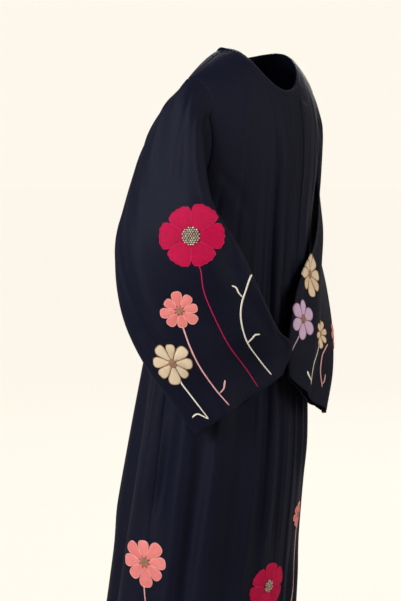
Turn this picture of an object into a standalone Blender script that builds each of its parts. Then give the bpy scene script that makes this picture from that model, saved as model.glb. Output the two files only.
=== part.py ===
"""A worn, open-front black abaya with wide straight sleeves and applique flowers, as a hollow garment.

Metres, +Z up. The wearer faces -Y and the wearer's left is +X. The origin is the middle of the neck,
level with the two points where the shoulder seams meet the neckline: that is where a neck and
shoulders hold the garment up. Every cloth piece is a wall of even thickness round a middle surface.
The middle surface of the body comes from girth sections and a fold table, and that of each sleeve
from rings through its four lines: over the arm, front, under the arm and back.
"""

import math
from collections import namedtuple

import bpy
import numpy as np
from mathutils.bvhtree import BVHTree

# ---------------------------------------------------------------- driving sizes
WALL = 0.0016
SEAM_GAP = 0.0003
LENGTH = 1.42
NECK_HALF_WIDTH = 0.080
NECK_FRONT_DROP = 0.085
NECK_BACK_DROP = 0.018
SHOULDER_HALF_WIDTH = 0.190
SHOULDER_SLOPE = 0.62
NECK_EASE = 0.020  # over how far the shoulder line bends down at the neck
UNDERARM_DROP = 0.235
ARMHOLE_SCOOP_FRONT = 26.0  # degrees
ARMHOLE_SCOOP_BACK = 27.0  # degrees
BAND_PLACE = (0.040, 0.066)  # inner and outer edge, to the wearer's left of the centre front
BAND_WALL = 0.0014
BINDING_WIDTH = 0.009
BINDING_WALL = 0.0012
LIE_GAP = 0.0005  # between a panel and what is sewn flat on it
APPLIQUE = 0.0010
CENTRE_RIM = 0.0008
CENTRE_CROWN = 0.0010
STEM_WIDTH = 0.0042
LIFT_STEP = 0.0001
LIFT_MARGIN = 0.0002
BAND_COLUMNS = 4
STEM_STEPS = 3  # strip pieces between two points of a stem's path
PETAL_PLACES = (-0.5, -0.33, 0.0, 0.33)  # rays of a petal, from its slit at -0.5
CENTRE_RAYS = 10
SMALL_BLOOM = 0.030  # a flower below this radius has one ring of points less
REACH_STEP = 0.0030  # of the search for a place on a face
REACH_EXTRA = 6
NECK_MIDDLE = -0.020  # how far the neck's middle lies in front of the shoulder seams
UNDERARM_TURN = 100.0  # degrees that a sleeve turns out of the panel under the arm
START_PULL = 0.55  # how long a sleeve keeps the way in which it leaves the armhole
FLAT_SHARE = 0.85  # of the folds' height, taken off where a stiff flower lies on the skirt
FLAT_ANGLE = 22.0  # degrees
FLAT_DROP = 0.115

# ---------------------------------------------------------------- body sections
# drop below the shoulder line, half width, depth to the front and to the back of the section's
# own middle, and how far that middle lies behind the origin
Girth = namedtuple("Girth", "drop half_width front back behind")
GIRTHS = (
    Girth(0.000, 0.1950, 0.000, 0.000, 0.000),
    Girth(0.016, 0.1940, 0.044, 0.046, 0.000),
    Girth(0.064, 0.1910, 0.078, 0.080, 0.002),
    Girth(0.130, 0.1870, 0.100, 0.098, 0.006),
    Girth(0.210, 0.1820, 0.112, 0.108, 0.013),
    Girth(0.320, 0.1770, 0.117, 0.116, 0.026),
    Girth(0.460, 0.1740, 0.127, 0.132, 0.043),
    Girth(0.620, 0.1820, 0.143, 0.152, 0.060),
    Girth(0.800, 0.1950, 0.158, 0.170, 0.078),
    Girth(1.060, 0.2080, 0.166, 0.188, 0.110),
    Girth(1.420, 0.2260, 0.178, 0.205, 0.146),
)

# Soft folds of the body: where the fold lies at the hem, as an angle from the centre front towards
# the wearer's left, how wide it is, how far it stands out (a trough is negative), the drop where it
# starts and where it is full, and how many degrees it has swung aside where it starts.
Fold = namedtuple("Fold", "angle width height starts full swing")
FOLDS = (
    Fold(-4.0, 3.0, -0.0050, 0.08, 0.45, 1.0),
    Fold(-10.5, 3.2, 0.0060, 0.05, 0.40, 3.0),
    Fold(-18.0, 3.4, -0.0060, 0.05, 0.45, 5.0),
    Fold(-26.0, 4.2, 0.0055, 0.08, 0.55, 7.0),
    Fold(-36.0, 5.0, -0.0060, 0.30, 0.85, 5.0),
    Fold(-48.0, 6.5, 0.0080, 0.30, 0.90, 3.0),
    Fold(-61.0, 6.5, -0.0090, 0.35, 1.00, 5.0),
    Fold(-74.0, 7.0, 0.0120, 0.40, 1.00, 8.0),
    Fold(-89.0, 7.5, -0.0150, 0.45, 0.95, 14.0),
    Fold(-104.0, 7.5, 0.0140, 0.40, 1.00, 9.0),
    Fold(-119.0, 7.0, -0.0130, 0.30, 1.00, 6.0),
    Fold(-134.0, 7.0, 0.0140, 0.30, 1.00, 5.0),
    Fold(-149.0, 7.0, -0.0120, 0.25, 0.95, 4.0),
    Fold(-164.0, 7.0, 0.0130, 0.25, 0.95, 2.0),
    Fold(-179.0, 7.0, -0.0120, 0.20, 0.95, 0.0),
    Fold(166.0, 7.0, 0.0140, 0.25, 1.00, -2.0),
    Fold(151.0, 7.0, -0.0130, 0.25, 1.00, -4.0),
    Fold(136.0, 7.0, 0.0130, 0.30, 1.00, -5.0),
    Fold(121.0, 7.0, -0.0130, 0.30, 1.00, -6.0),
    Fold(105.0, 7.5, 0.0140, 0.40, 1.00, -8.0),
    Fold(89.0, 7.5, -0.0140, 0.45, 1.00, -9.0),
    Fold(74.0, 7.0, 0.0110, 0.40, 1.00, -7.0),
    Fold(60.0, 6.5, -0.0090, 0.35, 0.95, -5.0),
    Fold(47.0, 6.0, 0.0075, 0.30, 0.90, -4.0),
    Fold(35.0, 5.0, -0.0060, 0.30, 0.80, -3.0),
    Fold(25.0, 4.2, 0.0055, 0.12, 0.60, -3.0),
    Fold(17.5, 3.2, -0.0055, 0.08, 0.50, -1.0),
)

# ---------------------------------------------------------------- sleeve sections
# Each ring runs through four points: over the arm, the front, under the arm and the back. The
# sleeve starts at the armhole, so the tables start one ring beyond it.
Ring = namedtuple("Ring", "along over front under back")
RIGHT_RINGS = (
    Ring(0.20, (-0.234, 0.006, -0.138), (-0.204, -0.050, -0.205),
         (-0.196, 0.014, -0.296), (-0.218, 0.078, -0.205)),
    Ring(0.34, (-0.260, 0.012, -0.250), (-0.218, -0.078, -0.290),
         (-0.203, 0.018, -0.330), (-0.250, 0.098, -0.290)),
    Ring(0.50, (-0.282, -0.006, -0.374), (-0.190, -0.122, -0.380),
         (-0.210, 0.006, -0.405), (-0.278, 0.104, -0.405)),
    Ring(0.64, (-0.264, -0.038, -0.470), (-0.152, -0.139, -0.460),
         (-0.196, -0.014, -0.492), (-0.278, 0.086, -0.515)),
    Ring(0.77, (-0.216, -0.074, -0.560), (-0.094, -0.140, -0.538),
         (-0.166, -0.036, -0.582), (-0.256, 0.048, -0.608)),
    Ring(0.88, (-0.166, -0.090, -0.618), (-0.046, -0.136, -0.570),
         (-0.136, -0.060, -0.636), (-0.224, 0.006, -0.680)),
    Ring(1.00, (-0.152, -0.094, -0.674), (-0.064, -0.126, -0.626),
         (-0.126, -0.066, -0.688), (-0.195, -0.020, -0.736)),
)
LEFT_RINGS = (
    Ring(0.20, (0.228, 0.018, -0.138), (0.195, -0.028, -0.205),
         (0.194, 0.022, -0.296), (0.212, 0.084, -0.205)),
    Ring(0.34, (0.236, 0.032, -0.255), (0.188, -0.030, -0.290),
         (0.194, 0.026, -0.332), (0.222, 0.104, -0.290)),
    Ring(0.50, (0.232, 0.004, -0.366), (0.108, -0.077, -0.384),
         (0.186, 0.000, -0.410), (0.240, 0.100, -0.408)),
    Ring(0.64, (0.184, -0.048, -0.460), (0.018, -0.106, -0.452),
         (0.150, -0.038, -0.488), (0.238, 0.056, -0.514)),
    Ring(0.77, (0.124, -0.100, -0.548), (-0.021, -0.117, -0.512),
         (0.108, -0.070, -0.566), (0.214, 0.004, -0.602)),
    Ring(0.88, (0.080, -0.128, -0.622), (-0.036, -0.119, -0.568),
         (0.068, -0.096, -0.630), (0.168, -0.046, -0.668)),
    Ring(1.00, (0.040, -0.140, -0.698), (-0.040, -0.122, -0.632),
         (0.038, -0.104, -0.684), (0.126, -0.088, -0.728)),
)

# Soft folds of the sleeves: where a fold starts round the sleeve, as an angle from the line over
# the arm through the front, how wide it is, how far it stands out, where along the sleeve it starts
# and ends, and how far it turns between the two.
SleeveFold = namedtuple("SleeveFold", "angle width height starts ends turn")
RIGHT_FOLDS = (
    SleeveFold(300.0, 14.0, -0.0060, 0.25, 1.00, 22.0),
    SleeveFold(330.0, 15.0, 0.0060, 0.18, 1.00, 14.0),
    SleeveFold(8.0, 16.0, -0.0045, 0.40, 1.00, 8.0),
    SleeveFold(35.0, 12.0, 0.0035, 0.10, 0.75, 6.0),
    SleeveFold(54.0, 11.0, -0.0035, 0.30, 0.90, 4.0),
    SleeveFold(215.0, 16.0, 0.0050, 0.25, 1.00, -10.0),
    SleeveFold(150.0, 16.0, -0.0040, 0.45, 1.00, 10.0),
)
LEFT_FOLDS = (
    SleeveFold(300.0, 14.0, -0.0060, 0.25, 1.00, 18.0),
    SleeveFold(332.0, 15.0, 0.0060, 0.18, 1.00, 14.0),
    SleeveFold(4.0, 15.0, -0.0060, 0.40, 1.00, 14.0),
    SleeveFold(30.0, 12.0, 0.0045, 0.10, 1.00, 4.0),
    SleeveFold(52.0, 11.0, -0.0040, 0.30, 0.90, 3.0),
    SleeveFold(215.0, 16.0, 0.0050, 0.25, 1.00, -10.0),
    SleeveFold(150.0, 16.0, -0.0040, 0.45, 1.00, 10.0),
)


# ---------------------------------------------------------------- small maths
def smoothstep(low, high, value):
    share = np.clip((value - low) / (high - low), 0.0, 1.0)
    return share * share * (3.0 - 2.0 * share)


def curve_through(knots, values, at):
    """Hermite curve through values at rising knots, with tangents from each knot's two neighbours."""
    knots = np.asarray(knots, float)
    values = np.asarray(values, float)
    at = np.asarray(at, float)
    steps = np.diff(knots)
    shape = (-1,) + (1,) * (values.ndim - 1)
    slopes = np.diff(values, axis=0) / steps.reshape(shape)
    tangents = np.empty_like(values)
    tangents[0] = slopes[0]
    tangents[-1] = slopes[-1]
    before = steps[1:].reshape(shape) / (steps[:-1] + steps[1:]).reshape(shape)
    tangents[1:-1] = slopes[:-1] * before + slopes[1:] * (1.0 - before)
    index = np.clip(np.searchsorted(knots, at, side="right") - 1, 0, len(steps) - 1)
    step = steps[index]
    t = (at - knots[index]) / step
    wide = at.shape + (1,) * (values.ndim - 1)
    t = t.reshape(wide)
    step = step.reshape(wide)
    return (
        (2 * t**3 - 3 * t**2 + 1) * values[index]
        + (t**3 - 2 * t**2 + t) * step * tangents[index]
        + (3 * t**2 - 2 * t**3) * values[index + 1]
        + (t**3 - t**2) * step * tangents[index + 1]
    )


def unit(vectors):
    return vectors / np.maximum(np.linalg.norm(vectors, axis=-1, keepdims=True), 1e-12)


# ---------------------------------------------------------------- body surface
GIRTH_KNOTS = np.sqrt([g.drop for g in GIRTHS])
GIRTH_VALUES = np.array([[g.half_width, g.front, g.back, g.behind] for g in GIRTHS])


def half_width_at(drop):
    return curve_through(GIRTH_KNOTS, GIRTH_VALUES[:, 0], np.sqrt(drop))


def fold_height(angle, drop):
    """How far the folds push the cloth out at these angles (degrees) and drops."""
    height = np.zeros(np.broadcast(angle, drop).shape)
    for fold in FOLDS:
        grown = smoothstep(fold.starts, fold.full, drop)
        middle = fold.angle + fold.swing * (1.0 - drop / LENGTH)
        away = (angle - middle + 180.0) % 360.0 - 180.0
        height += fold.height * grown * np.exp(-((away / fold.width) ** 2))
    for spot in SPOTS.values():
        if spot.face == "skirt":
            away = (angle - spot.around + 180.0) % 360.0 - 180.0
            near = np.exp(-((away / FLAT_ANGLE) ** 4) - ((drop - spot.along) / FLAT_DROP) ** 4)
            height *= 1.0 - FLAT_SHARE * near
    return height


def body_point(angle, drop):
    """Middle surface of the body. The angle is in degrees from the centre front towards the left."""
    angle, drop = np.broadcast_arrays(np.asarray(angle, float), np.asarray(drop, float))
    half_width, front, back, behind = np.moveaxis(
        curve_through(GIRTH_KNOTS, GIRTH_VALUES, np.sqrt(drop)), -1, 0
    )
    turn = np.radians(angle)
    sine, cosine = np.sin(turn), np.cos(turn)
    depth = np.where(cosine >= 0, front, back)
    out = fold_height(angle, drop)
    girth = np.maximum(np.hypot(half_width * cosine, depth * sine), 1e-6)
    x = half_width * sine + out * depth * sine / girth
    y = behind - depth * cosine - out * half_width * cosine / girth
    past_neck = np.minimum(np.abs(x), SHOULDER_HALF_WIDTH) - NECK_HALF_WIDTH
    fall = SHOULDER_SLOPE * (past_neck + np.hypot(past_neck, NECK_EASE)) / 2
    z = -drop - fall * (1.0 - smoothstep(0.05, 0.55, drop))
    return np.stack([x, y, z], axis=-1)


def body_normal(angle, drop):
    """Outward normal of the body. On the shoulder line it points straight up across the seam."""
    angle, drop = np.broadcast_arrays(np.asarray(angle, float), np.asarray(drop, float))
    near = 0.05
    low = np.maximum(drop - 0.002, 0.0)
    around = body_point(angle + near, drop) - body_point(angle - near, drop)
    down = body_point(angle, drop + 0.002) - body_point(angle, low)
    normal = unit(np.cross(down, around))
    normal[..., 1] = np.where(drop < 1e-6, 0.0, normal[..., 1])
    return unit(normal)


def armhole_angle(drop, scoop):
    """Angle from the centre front, or from the centre back, of the armhole edge at a drop."""
    half_width = half_width_at(drop)
    tip = np.degrees(np.arcsin(np.minimum(SHOULDER_HALF_WIDTH / half_width, 1.0)))
    share = np.clip(drop / UNDERARM_DROP, 0.0, 1.0)
    return tip + (90.0 - tip) * share**2 - scoop * 2.0 * np.sqrt(share * (1.0 - share))


# ---------------------------------------------------------------- panel grids
# Rows run down a piece and columns across it, to the wearer's left on the body. The armhole's rows
# are shared with the sleeves, so that a sleeve's first ring meets the panels point for point.
ARMHOLE_STEPS = 14
NECK_STEPS = 8
SKIRT_STEPS = 9
FRONT_STEPS = 16
BACK_NECK_STEPS = 8
BACK_SHOULDER_STEPS = 9

ARMHOLE_DROPS = UNDERARM_DROP * (1.0 - np.cos(np.linspace(0.0, math.pi, ARMHOLE_STEPS + 1))) / 2
SKIRT_DROPS = np.linspace(UNDERARM_DROP, LENGTH, SKIRT_STEPS + 1)[1:]
OUTER_DROPS = np.concatenate([ARMHOLE_DROPS, SKIRT_DROPS])


def front_grid(side):
    """Angles and drops of a front panel. The side is -1 for the wearer's right and 1 for the left."""
    around_neck = np.linspace(0.0, math.pi / 2, NECK_STEPS + 1)
    neck_drops = NECK_FRONT_DROP * np.sin(around_neck) ** 1.5
    below_neck = np.linspace(NECK_FRONT_DROP, UNDERARM_DROP, ARMHOLE_STEPS - NECK_STEPS + 1)[1:]
    inner_drops = np.concatenate([neck_drops, below_neck, SKIRT_DROPS])
    inner_x = np.full(len(inner_drops), SEAM_GAP / 2)
    inner_x[: NECK_STEPS + 1] += NECK_HALF_WIDTH * np.cos(around_neck)
    inner = np.degrees(np.arcsin(inner_x / half_width_at(inner_drops)))
    outer = armhole_angle(OUTER_DROPS, ARMHOLE_SCOOP_FRONT)
    share = np.linspace(0.0, 1.0, FRONT_STEPS + 1)
    drops = inner_drops[:, None] + (OUTER_DROPS - inner_drops)[:, None] * share[None, :]
    angles = inner[:, None] + (outer - inner)[:, None] * share[None, :] ** 1.25
    if side < 0:
        return -angles[:, ::-1], drops[:, ::-1]
    return angles, drops


def back_grid():
    """Angles and drops of the back, whose top edge is both shoulder seams and the back neckline."""
    around_neck = np.linspace(0.0, math.pi, BACK_NECK_STEPS + 1)
    neck = np.degrees(np.arcsin(NECK_HALF_WIDTH * np.cos(around_neck) / half_width_at(0.0)))
    tip = armhole_angle(0.0, ARMHOLE_SCOOP_BACK)
    shoulder = np.linspace(tip, neck[0], BACK_SHOULDER_STEPS + 1)[:-1]
    top_share = np.concatenate([shoulder, neck, -shoulder[::-1]]) / tip
    top_drop = np.zeros(len(top_share))
    top_drop[BACK_SHOULDER_STEPS : BACK_SHOULDER_STEPS + BACK_NECK_STEPS + 1] = (
        NECK_BACK_DROP * np.sin(around_neck) ** 2
    )
    even_share = np.linspace(1.0, -1.0, len(top_share))
    grown = smoothstep(0.0, 0.5, OUTER_DROPS / UNDERARM_DROP)[:, None]
    share = top_share * (1.0 - grown) + even_share * grown
    inward = tip - armhole_angle(OUTER_DROPS, ARMHOLE_SCOOP_BACK)[:, None]
    scooped = np.sign(share) * np.abs(share) ** (3.0 - 2.0 * grown)  # keeps the scoop off the neck
    angles = 180.0 - tip * share + inward * scooped
    fade = np.clip(1.0 - OUTER_DROPS / UNDERARM_DROP, 0.0, 1.0)[:, None]
    return angles, OUTER_DROPS[:, None] + top_drop[None, :] * fade


# ---------------------------------------------------------------- sleeve surface
RING_PLACES = (0.0, 0.012, 0.034, 0.075, 0.13, 0.20, 0.28, 0.37, 0.46, 0.56, 0.66, 0.77, 0.88, 1.0)
SLEEVE_COLUMNS = 2 * ARMHOLE_STEPS


def armhole_edge(side, phi):
    """Point and normal on the panels' armhole edge: phi is 0 at the shoulder and 90 in front."""
    turn = np.radians(np.asarray(phi, float))
    drop = UNDERARM_DROP * (1.0 - np.cos(turn)) / 2
    front = armhole_angle(drop, ARMHOLE_SCOOP_FRONT)
    back = 180.0 - armhole_angle(drop, ARMHOLE_SCOOP_BACK)
    sine = np.sin(turn)
    angle = side * np.where(sine >= -1e-9, front, back)
    point = body_point(angle, drop)
    point[..., 1] -= np.sign(np.round(sine, 9)) * SEAM_GAP / 2
    return point, body_normal(angle, drop)


def sleeve_start(side, phi):
    """Where a sleeve leaves the armhole: a point, the way that it runs, and its outward normal."""
    phi = np.asarray(phi, float)
    point, normal = armhole_edge(side, phi)
    along_edge = armhole_edge(side, phi + 1.0)[0] - armhole_edge(side, phi - 1.0)[0]
    middle = (armhole_edge(side, 90.0)[0] + armhole_edge(side, 270.0)[0]) / 2
    away = unit(np.cross(along_edge, normal))
    away = away * np.sign(np.sum(away * (middle - point), axis=-1, keepdims=True))
    lift = np.radians(UNDERARM_TURN) * ((1.0 - np.cos(np.radians(phi))) / 2) ** 1.5
    sine, cosine = np.sin(lift)[..., None], np.cos(lift)[..., None]
    run = away * cosine + normal * sine
    outward = normal * cosine - away * sine
    return point + run * (SEAM_GAP * 1.35 + WALL / 2 * sine), run, outward


def ring_point(ring, phi):
    over, front, under, back = (np.array(p) for p in (ring.over, ring.front, ring.under, ring.back))
    turn = np.radians(phi)[..., None]
    return (
        (over + front + under + back) / 4
        + (over - under) / 2 * np.cos(turn)
        + (front - back) / 2 * np.sin(turn)
        + (over + under - front - back) / 4 * np.cos(2 * turn)
    )


def smooth_sleeve(side, phi, along):
    """Middle surface of a sleeve without folds. Along runs from 0 at the armhole to 1 at the cuff."""
    phi, along = np.broadcast_arrays(np.asarray(phi, float), np.asarray(along, float))
    rings = RIGHT_RINGS if side < 0 else LEFT_RINGS
    start, run, _ = sleeve_start(side, phi)
    points = [start] + [ring_point(ring, phi) for ring in rings]
    knots = [0.0] + [ring.along for ring in rings]
    slopes = [(points[i + 1] - points[i]) / (knots[i + 1] - knots[i]) for i in range(len(rings))]
    tangents = [run * np.linalg.norm(slopes[0], axis=-1, keepdims=True) * START_PULL]
    for i in range(1, len(rings)):
        weight = (knots[i + 1] - knots[i]) / (knots[i + 1] - knots[i - 1])
        tangents.append(slopes[i - 1] * weight + slopes[i] * (1.0 - weight))
    tangents.append(slopes[-1])
    place = np.zeros(phi.shape + (3,))
    for i in range(len(rings)):
        step = knots[i + 1] - knots[i]
        t = ((along - knots[i]) / step)[..., None]
        curve = (
            (2 * t**3 - 3 * t**2 + 1) * points[i]
            + (t**3 - 2 * t**2 + t) * step * tangents[i]
            + (3 * t**2 - 2 * t**3) * points[i + 1]
            + (t**3 - t**2) * step * tangents[i + 1]
        )
        inside = (t >= 0.0) | (i == 0)
        place = np.where(inside, curve, place)
    return place


def surface_normal(surface, side, across, along, step_across, step_along):
    """Unit normal of a surface, to the left of its rows: outward on the right sleeve."""
    low = np.maximum(along - step_along, 0.0)
    high = np.minimum(along + step_along, 1.0)
    down = surface(side, across, high) - surface(side, across, low)
    around = surface(side, across + step_across, along) - surface(side, across - step_across, along)
    return unit(np.cross(down, around)) * -side


def sleeve_point(side, phi, along):
    """Middle surface of a sleeve with its folds."""
    phi, along = np.broadcast_arrays(np.asarray(phi, float), np.asarray(along, float))
    height = np.zeros(phi.shape)
    for fold in RIGHT_FOLDS if side < 0 else LEFT_FOLDS:
        share = (along - fold.starts) / (fold.ends - fold.starts)
        away = (phi - fold.angle - fold.turn * share + 180.0) % 360.0 - 180.0
        grown = smoothstep(0.0, 0.35, share)
        if fold.ends < 1.0:
            grown = grown * (1.0 - smoothstep(0.65, 1.0, share))
        height += fold.height * grown * np.exp(-((away / fold.width) ** 2))
    place = smooth_sleeve(side, phi, along)
    return place + surface_normal(smooth_sleeve, side, phi, along, 0.5, 0.004) * height[..., None]


def sleeve_grid(side):
    """Middle points and outward normals of a sleeve, as rings of columns."""
    turn = np.linspace(0.0, 360.0, SLEEVE_COLUMNS + 1)[:-1] * -side
    phi, along = np.meshgrid(turn, RING_PLACES)
    points = sleeve_point(side, phi, along)
    normals = surface_normal(sleeve_point, side, phi, along, 0.5, 0.004)
    normals[0] = sleeve_start(side, turn)[2]
    return points, normals


# ---------------------------------------------------------------- meshes
def quad_triangles(grid, round_tube=False):
    """Triangles of a grid of vertex numbers, each cell cut from its first to its third corner."""
    following = np.roll(grid, -1, axis=1) if round_tube else grid[:, 1:]
    here = grid if round_tube else grid[:, :-1]
    a, b, c, d = here[:-1], following[:-1], following[1:], here[1:]
    halves = (np.stack([a, d, c], -1), np.stack([a, c, b], -1))
    return np.concatenate([half.reshape(-1, 3) for half in halves])


def shell(outer, inner, round_tube=False):
    """Vertices and triangles of a closed wall between two grids of points."""
    rows, columns = outer.shape[:2]
    count = rows * columns
    top = np.arange(count).reshape(rows, columns)
    low = top + count
    faces = [quad_triangles(top, round_tube), quad_triangles(low, round_tube)[:, ::-1]]
    faces.append(quad_triangles(np.stack([low[0], top[0]]), round_tube))
    faces.append(quad_triangles(np.stack([top[-1], low[-1]]), round_tube))
    if not round_tube:
        faces.append(quad_triangles(np.stack([low[:, 0], top[:, 0]], axis=1)))
        faces.append(quad_triangles(np.stack([top[:, -1], low[:, -1]], axis=1)))
    return np.vstack([outer.reshape(-1, 3), inner.reshape(-1, 3)]), np.concatenate(faces)


def add_solid(name, vertices, faces, material):
    mesh = bpy.data.meshes.new(name)
    mesh.from_pydata(vertices.tolist(), [], faces.tolist())
    mesh.update()
    mesh.shade_smooth()
    mesh.set_sharp_from_angle(angle=math.radians(40))
    mesh.materials.append(material)
    obj = bpy.data.objects.new(name, mesh)
    bpy.context.scene.collection.objects.link(obj)
    return obj


class Face:
    """The outer face of a wall: its facets and a normal at each corner, for what is sewn on it."""

    def __init__(self, points, normals, round_tube=False):
        self.points, self.normals, self.round_tube = points, normals, round_tube
        self.rows, self.columns = points.shape[:2]

    def cell(self, row, column):
        if self.round_tube:
            column = np.mod(column, self.columns)
            last = self.columns
        else:
            last = self.columns - 1
        row = np.clip(row, 0.0, self.rows - 1 - 1e-9)
        column = np.clip(column, 0.0, last - 1e-9)
        i, j = row.astype(int), column.astype(int)
        k = (j + 1) % self.columns
        return i, j, k, (row - i)[..., None], (column - j)[..., None]

    def on_facets(self, values, row, column):
        i, j, k, down, across = self.cell(row, column)
        a, b, c, d = values[i, j], values[i, k], values[i + 1, k], values[i + 1, j]
        lower = a + (d - a) * down + (c - d) * across
        upper = a + (b - a) * across + (c - b) * down
        return np.where(down >= across, lower, upper)

    def slopes(self, row, column):
        """How the blended surface moves with one row and with one column."""
        i, j, k, down, across = self.cell(row, column)
        a, b = self.points[i, j], self.points[i, k]
        c, d = self.points[i + 1, k], self.points[i + 1, j]
        return (d - a) * (1.0 - across) + (c - b) * across, (b - a) * (1.0 - down) + (c - d) * down

    def lift(self, row, column, height):
        row, column = np.asarray(row, float), np.asarray(column, float)
        normal = unit(self.on_facets(self.normals, row, column))
        return self.on_facets(self.points, row, column) + normal * height

    def reach(self, start, right, offsets):
        """Rows and columns of the points that lie at (right, up) offsets in the plane of the start."""
        offsets = np.asarray(offsets, float)
        row = np.full(offsets.shape[:-1], float(start[0]))
        column = np.full(offsets.shape[:-1], float(start[1]))
        origin = self.on_facets(self.points, row, column)
        normal = unit(self.on_facets(self.normals, row, column))
        across = unit(right - normal * (normal @ np.array(right, float))[..., None])
        upward = np.cross(normal, across)
        steps = int(np.ceil(np.linalg.norm(offsets, axis=-1).max() / REACH_STEP))
        for step in range(1, steps + REACH_EXTRA):
            from_start = self.on_facets(self.points, row, column) - origin
            goal = offsets * min(step / steps, 1.0)
            short_right = goal[..., 0] - np.sum(from_start * across, axis=-1)
            short_up = goal[..., 1] - np.sum(from_start * upward, axis=-1)
            down, over = self.slopes(row, column)
            down_right, down_up = np.sum(down * across, axis=-1), np.sum(down * upward, axis=-1)
            over_right, over_up = np.sum(over * across, axis=-1), np.sum(over * upward, axis=-1)
            area = down_right * over_up - over_right * down_up
            row = row + (short_right * over_up - short_up * over_right) / area
            column = column + (short_up * down_right - short_right * down_up) / area
        return row, column


# ---------------------------------------------------------------- applique shapes
def petal_outline(bloom):
    """Angles and radii round a flower: each petal runs from one slit to the next."""
    within = np.array(PETAL_PLACES)
    angles, radii = [], []
    for petal in range(bloom.petals):
        turn = bloom.turn + 360.0 * (petal + within) / bloom.petals
        uneven = 1.0 + bloom.uneven * math.sin(2.4 * petal + bloom.turn)
        shape = bloom.slit + (1.0 - bloom.slit) * (1.0 - np.abs(2.0 * within) ** bloom.fullness)
        angles.append(turn)
        radii.append(bloom.radius * shape * np.where(within == -0.5, 1.0, uneven))
    return np.concatenate(angles), np.concatenate(radii)


def disc_solid(face, start, right, middle, angles, radii, low, high, crown=0.0):
    """A plate whose rays end at the radii, laid on a face between two heights above it."""
    turn = np.radians(angles)
    directions = np.stack([np.cos(turn), np.sin(turn)], axis=-1)
    inner = np.minimum(radii, radii.min() * 0.9)
    levels = [inner, radii] if radii.max() < SMALL_BLOOM else [inner, (inner + radii) / 2, radii]
    offsets = np.vstack([[middle]] + [middle + directions * level[:, None] for level in levels])
    row, column = face.reach(start, right, offsets)
    count = len(angles)
    shares = np.repeat(np.linspace(0.0, 1.0, len(levels) + 1), [1] + [count] * len(levels))
    top = face.lift(row, column, (high + crown * (1.0 - shares))[:, None])
    bottom = face.lift(row, column, low)
    rings = np.arange(count * len(levels)).reshape(len(levels), count) + 1
    fan = np.stack([np.zeros(count, int), rings[0], np.roll(rings[0], -1)], -1)
    total = 1 + count * len(levels)
    upper = np.concatenate([fan, quad_triangles(rings, True)])
    rim = quad_triangles(np.stack([rings[-1], rings[-1] + total]), True)
    return np.vstack([top, bottom]), np.concatenate([upper, (upper + total)[:, ::-1], rim])


def stem_solid(face, start, right, path, width, low, high):
    """A thin tapering strip along a path of (right, up) offsets on a face."""
    path = np.array(path, float)
    places = np.linspace(0.0, len(path) - 1, (len(path) - 1) * STEM_STEPS + 1)
    line = curve_through(np.arange(len(path)), path, places)
    tangent = unit(np.gradient(line, axis=0))
    sideways = np.stack([-tangent[:, 1], tangent[:, 0]], axis=-1)
    taper = width * (1.0 - 0.45 * np.linspace(0.0, 1.0, len(line)) ** 2)[:, None] / 2
    strip = np.stack([line - sideways * taper, line + sideways * taper], axis=1)
    row, column = face.reach(start, right, strip)
    return shell(face.lift(row, column, high), face.lift(row, column, low))


# ---------------------------------------------------------------- motifs
# A spot is where a group of motifs starts: on a sleeve an angle round it and a place along it, on
# the skirt an angle from the centre front and a drop. Motifs lie flat round their spot, in metres to
# the right and up as seen from outside.
Spot = namedtuple("Spot", "face around along")
SPOTS = {
    "right_sleeve": Spot("sleeve_right", 30.0, 0.478),
    "left_sleeve": Spot("sleeve_left", 30.0, 0.845),
    "left_sleeve_high": Spot("sleeve_left", 50.0, 0.650),
    "left_sleeve_inner": Spot("sleeve_left", 54.0, 0.790),
    "left_sleeve_outer": Spot("sleeve_left", 338.0, 0.800),
    "side_right": Spot("skirt", -90.0, 1.005),
    "back_right": Spot("skirt", -150.0, 1.070),
    "front": Spot("skirt", -3.4, 1.068),
    "front_left": Spot("skirt", 28.0, 0.945),
    "side_left": Spot("skirt", 92.0, 1.005),
    "back_left": Spot("skirt", 150.0, 1.070),
}
SLEEVE_RIGHT_HAND = (0.643, -0.766, 0.0)  # towards the wearer's front left

# Where each flower lies on its spot, its radius and number of petals, the turn of its first petal in
# degrees, how deep its slits reach as a share of the radius, how square its petals are, how much the
# petals differ, and the radius of its centre.
Bloom = namedtuple("Bloom", "name spot colour right up radius petals turn slit fullness uneven centre")
COSMOS = dict(petals=6, slit=0.34, fullness=3.2, uneven=0.05)
ROSE = dict(petals=8, slit=0.66, fullness=3.0, uneven=0.06)
DAISY = dict(petals=8, slit=0.42, fullness=2.4, uneven=0.04)


def bloom(kind, name, spot, colour, right, up, radius, turn, centre):
    return Bloom(name=name, spot=spot, colour=colour, right=right, up=up, radius=radius, turn=turn,
                 centre=centre, **kind)


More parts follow.
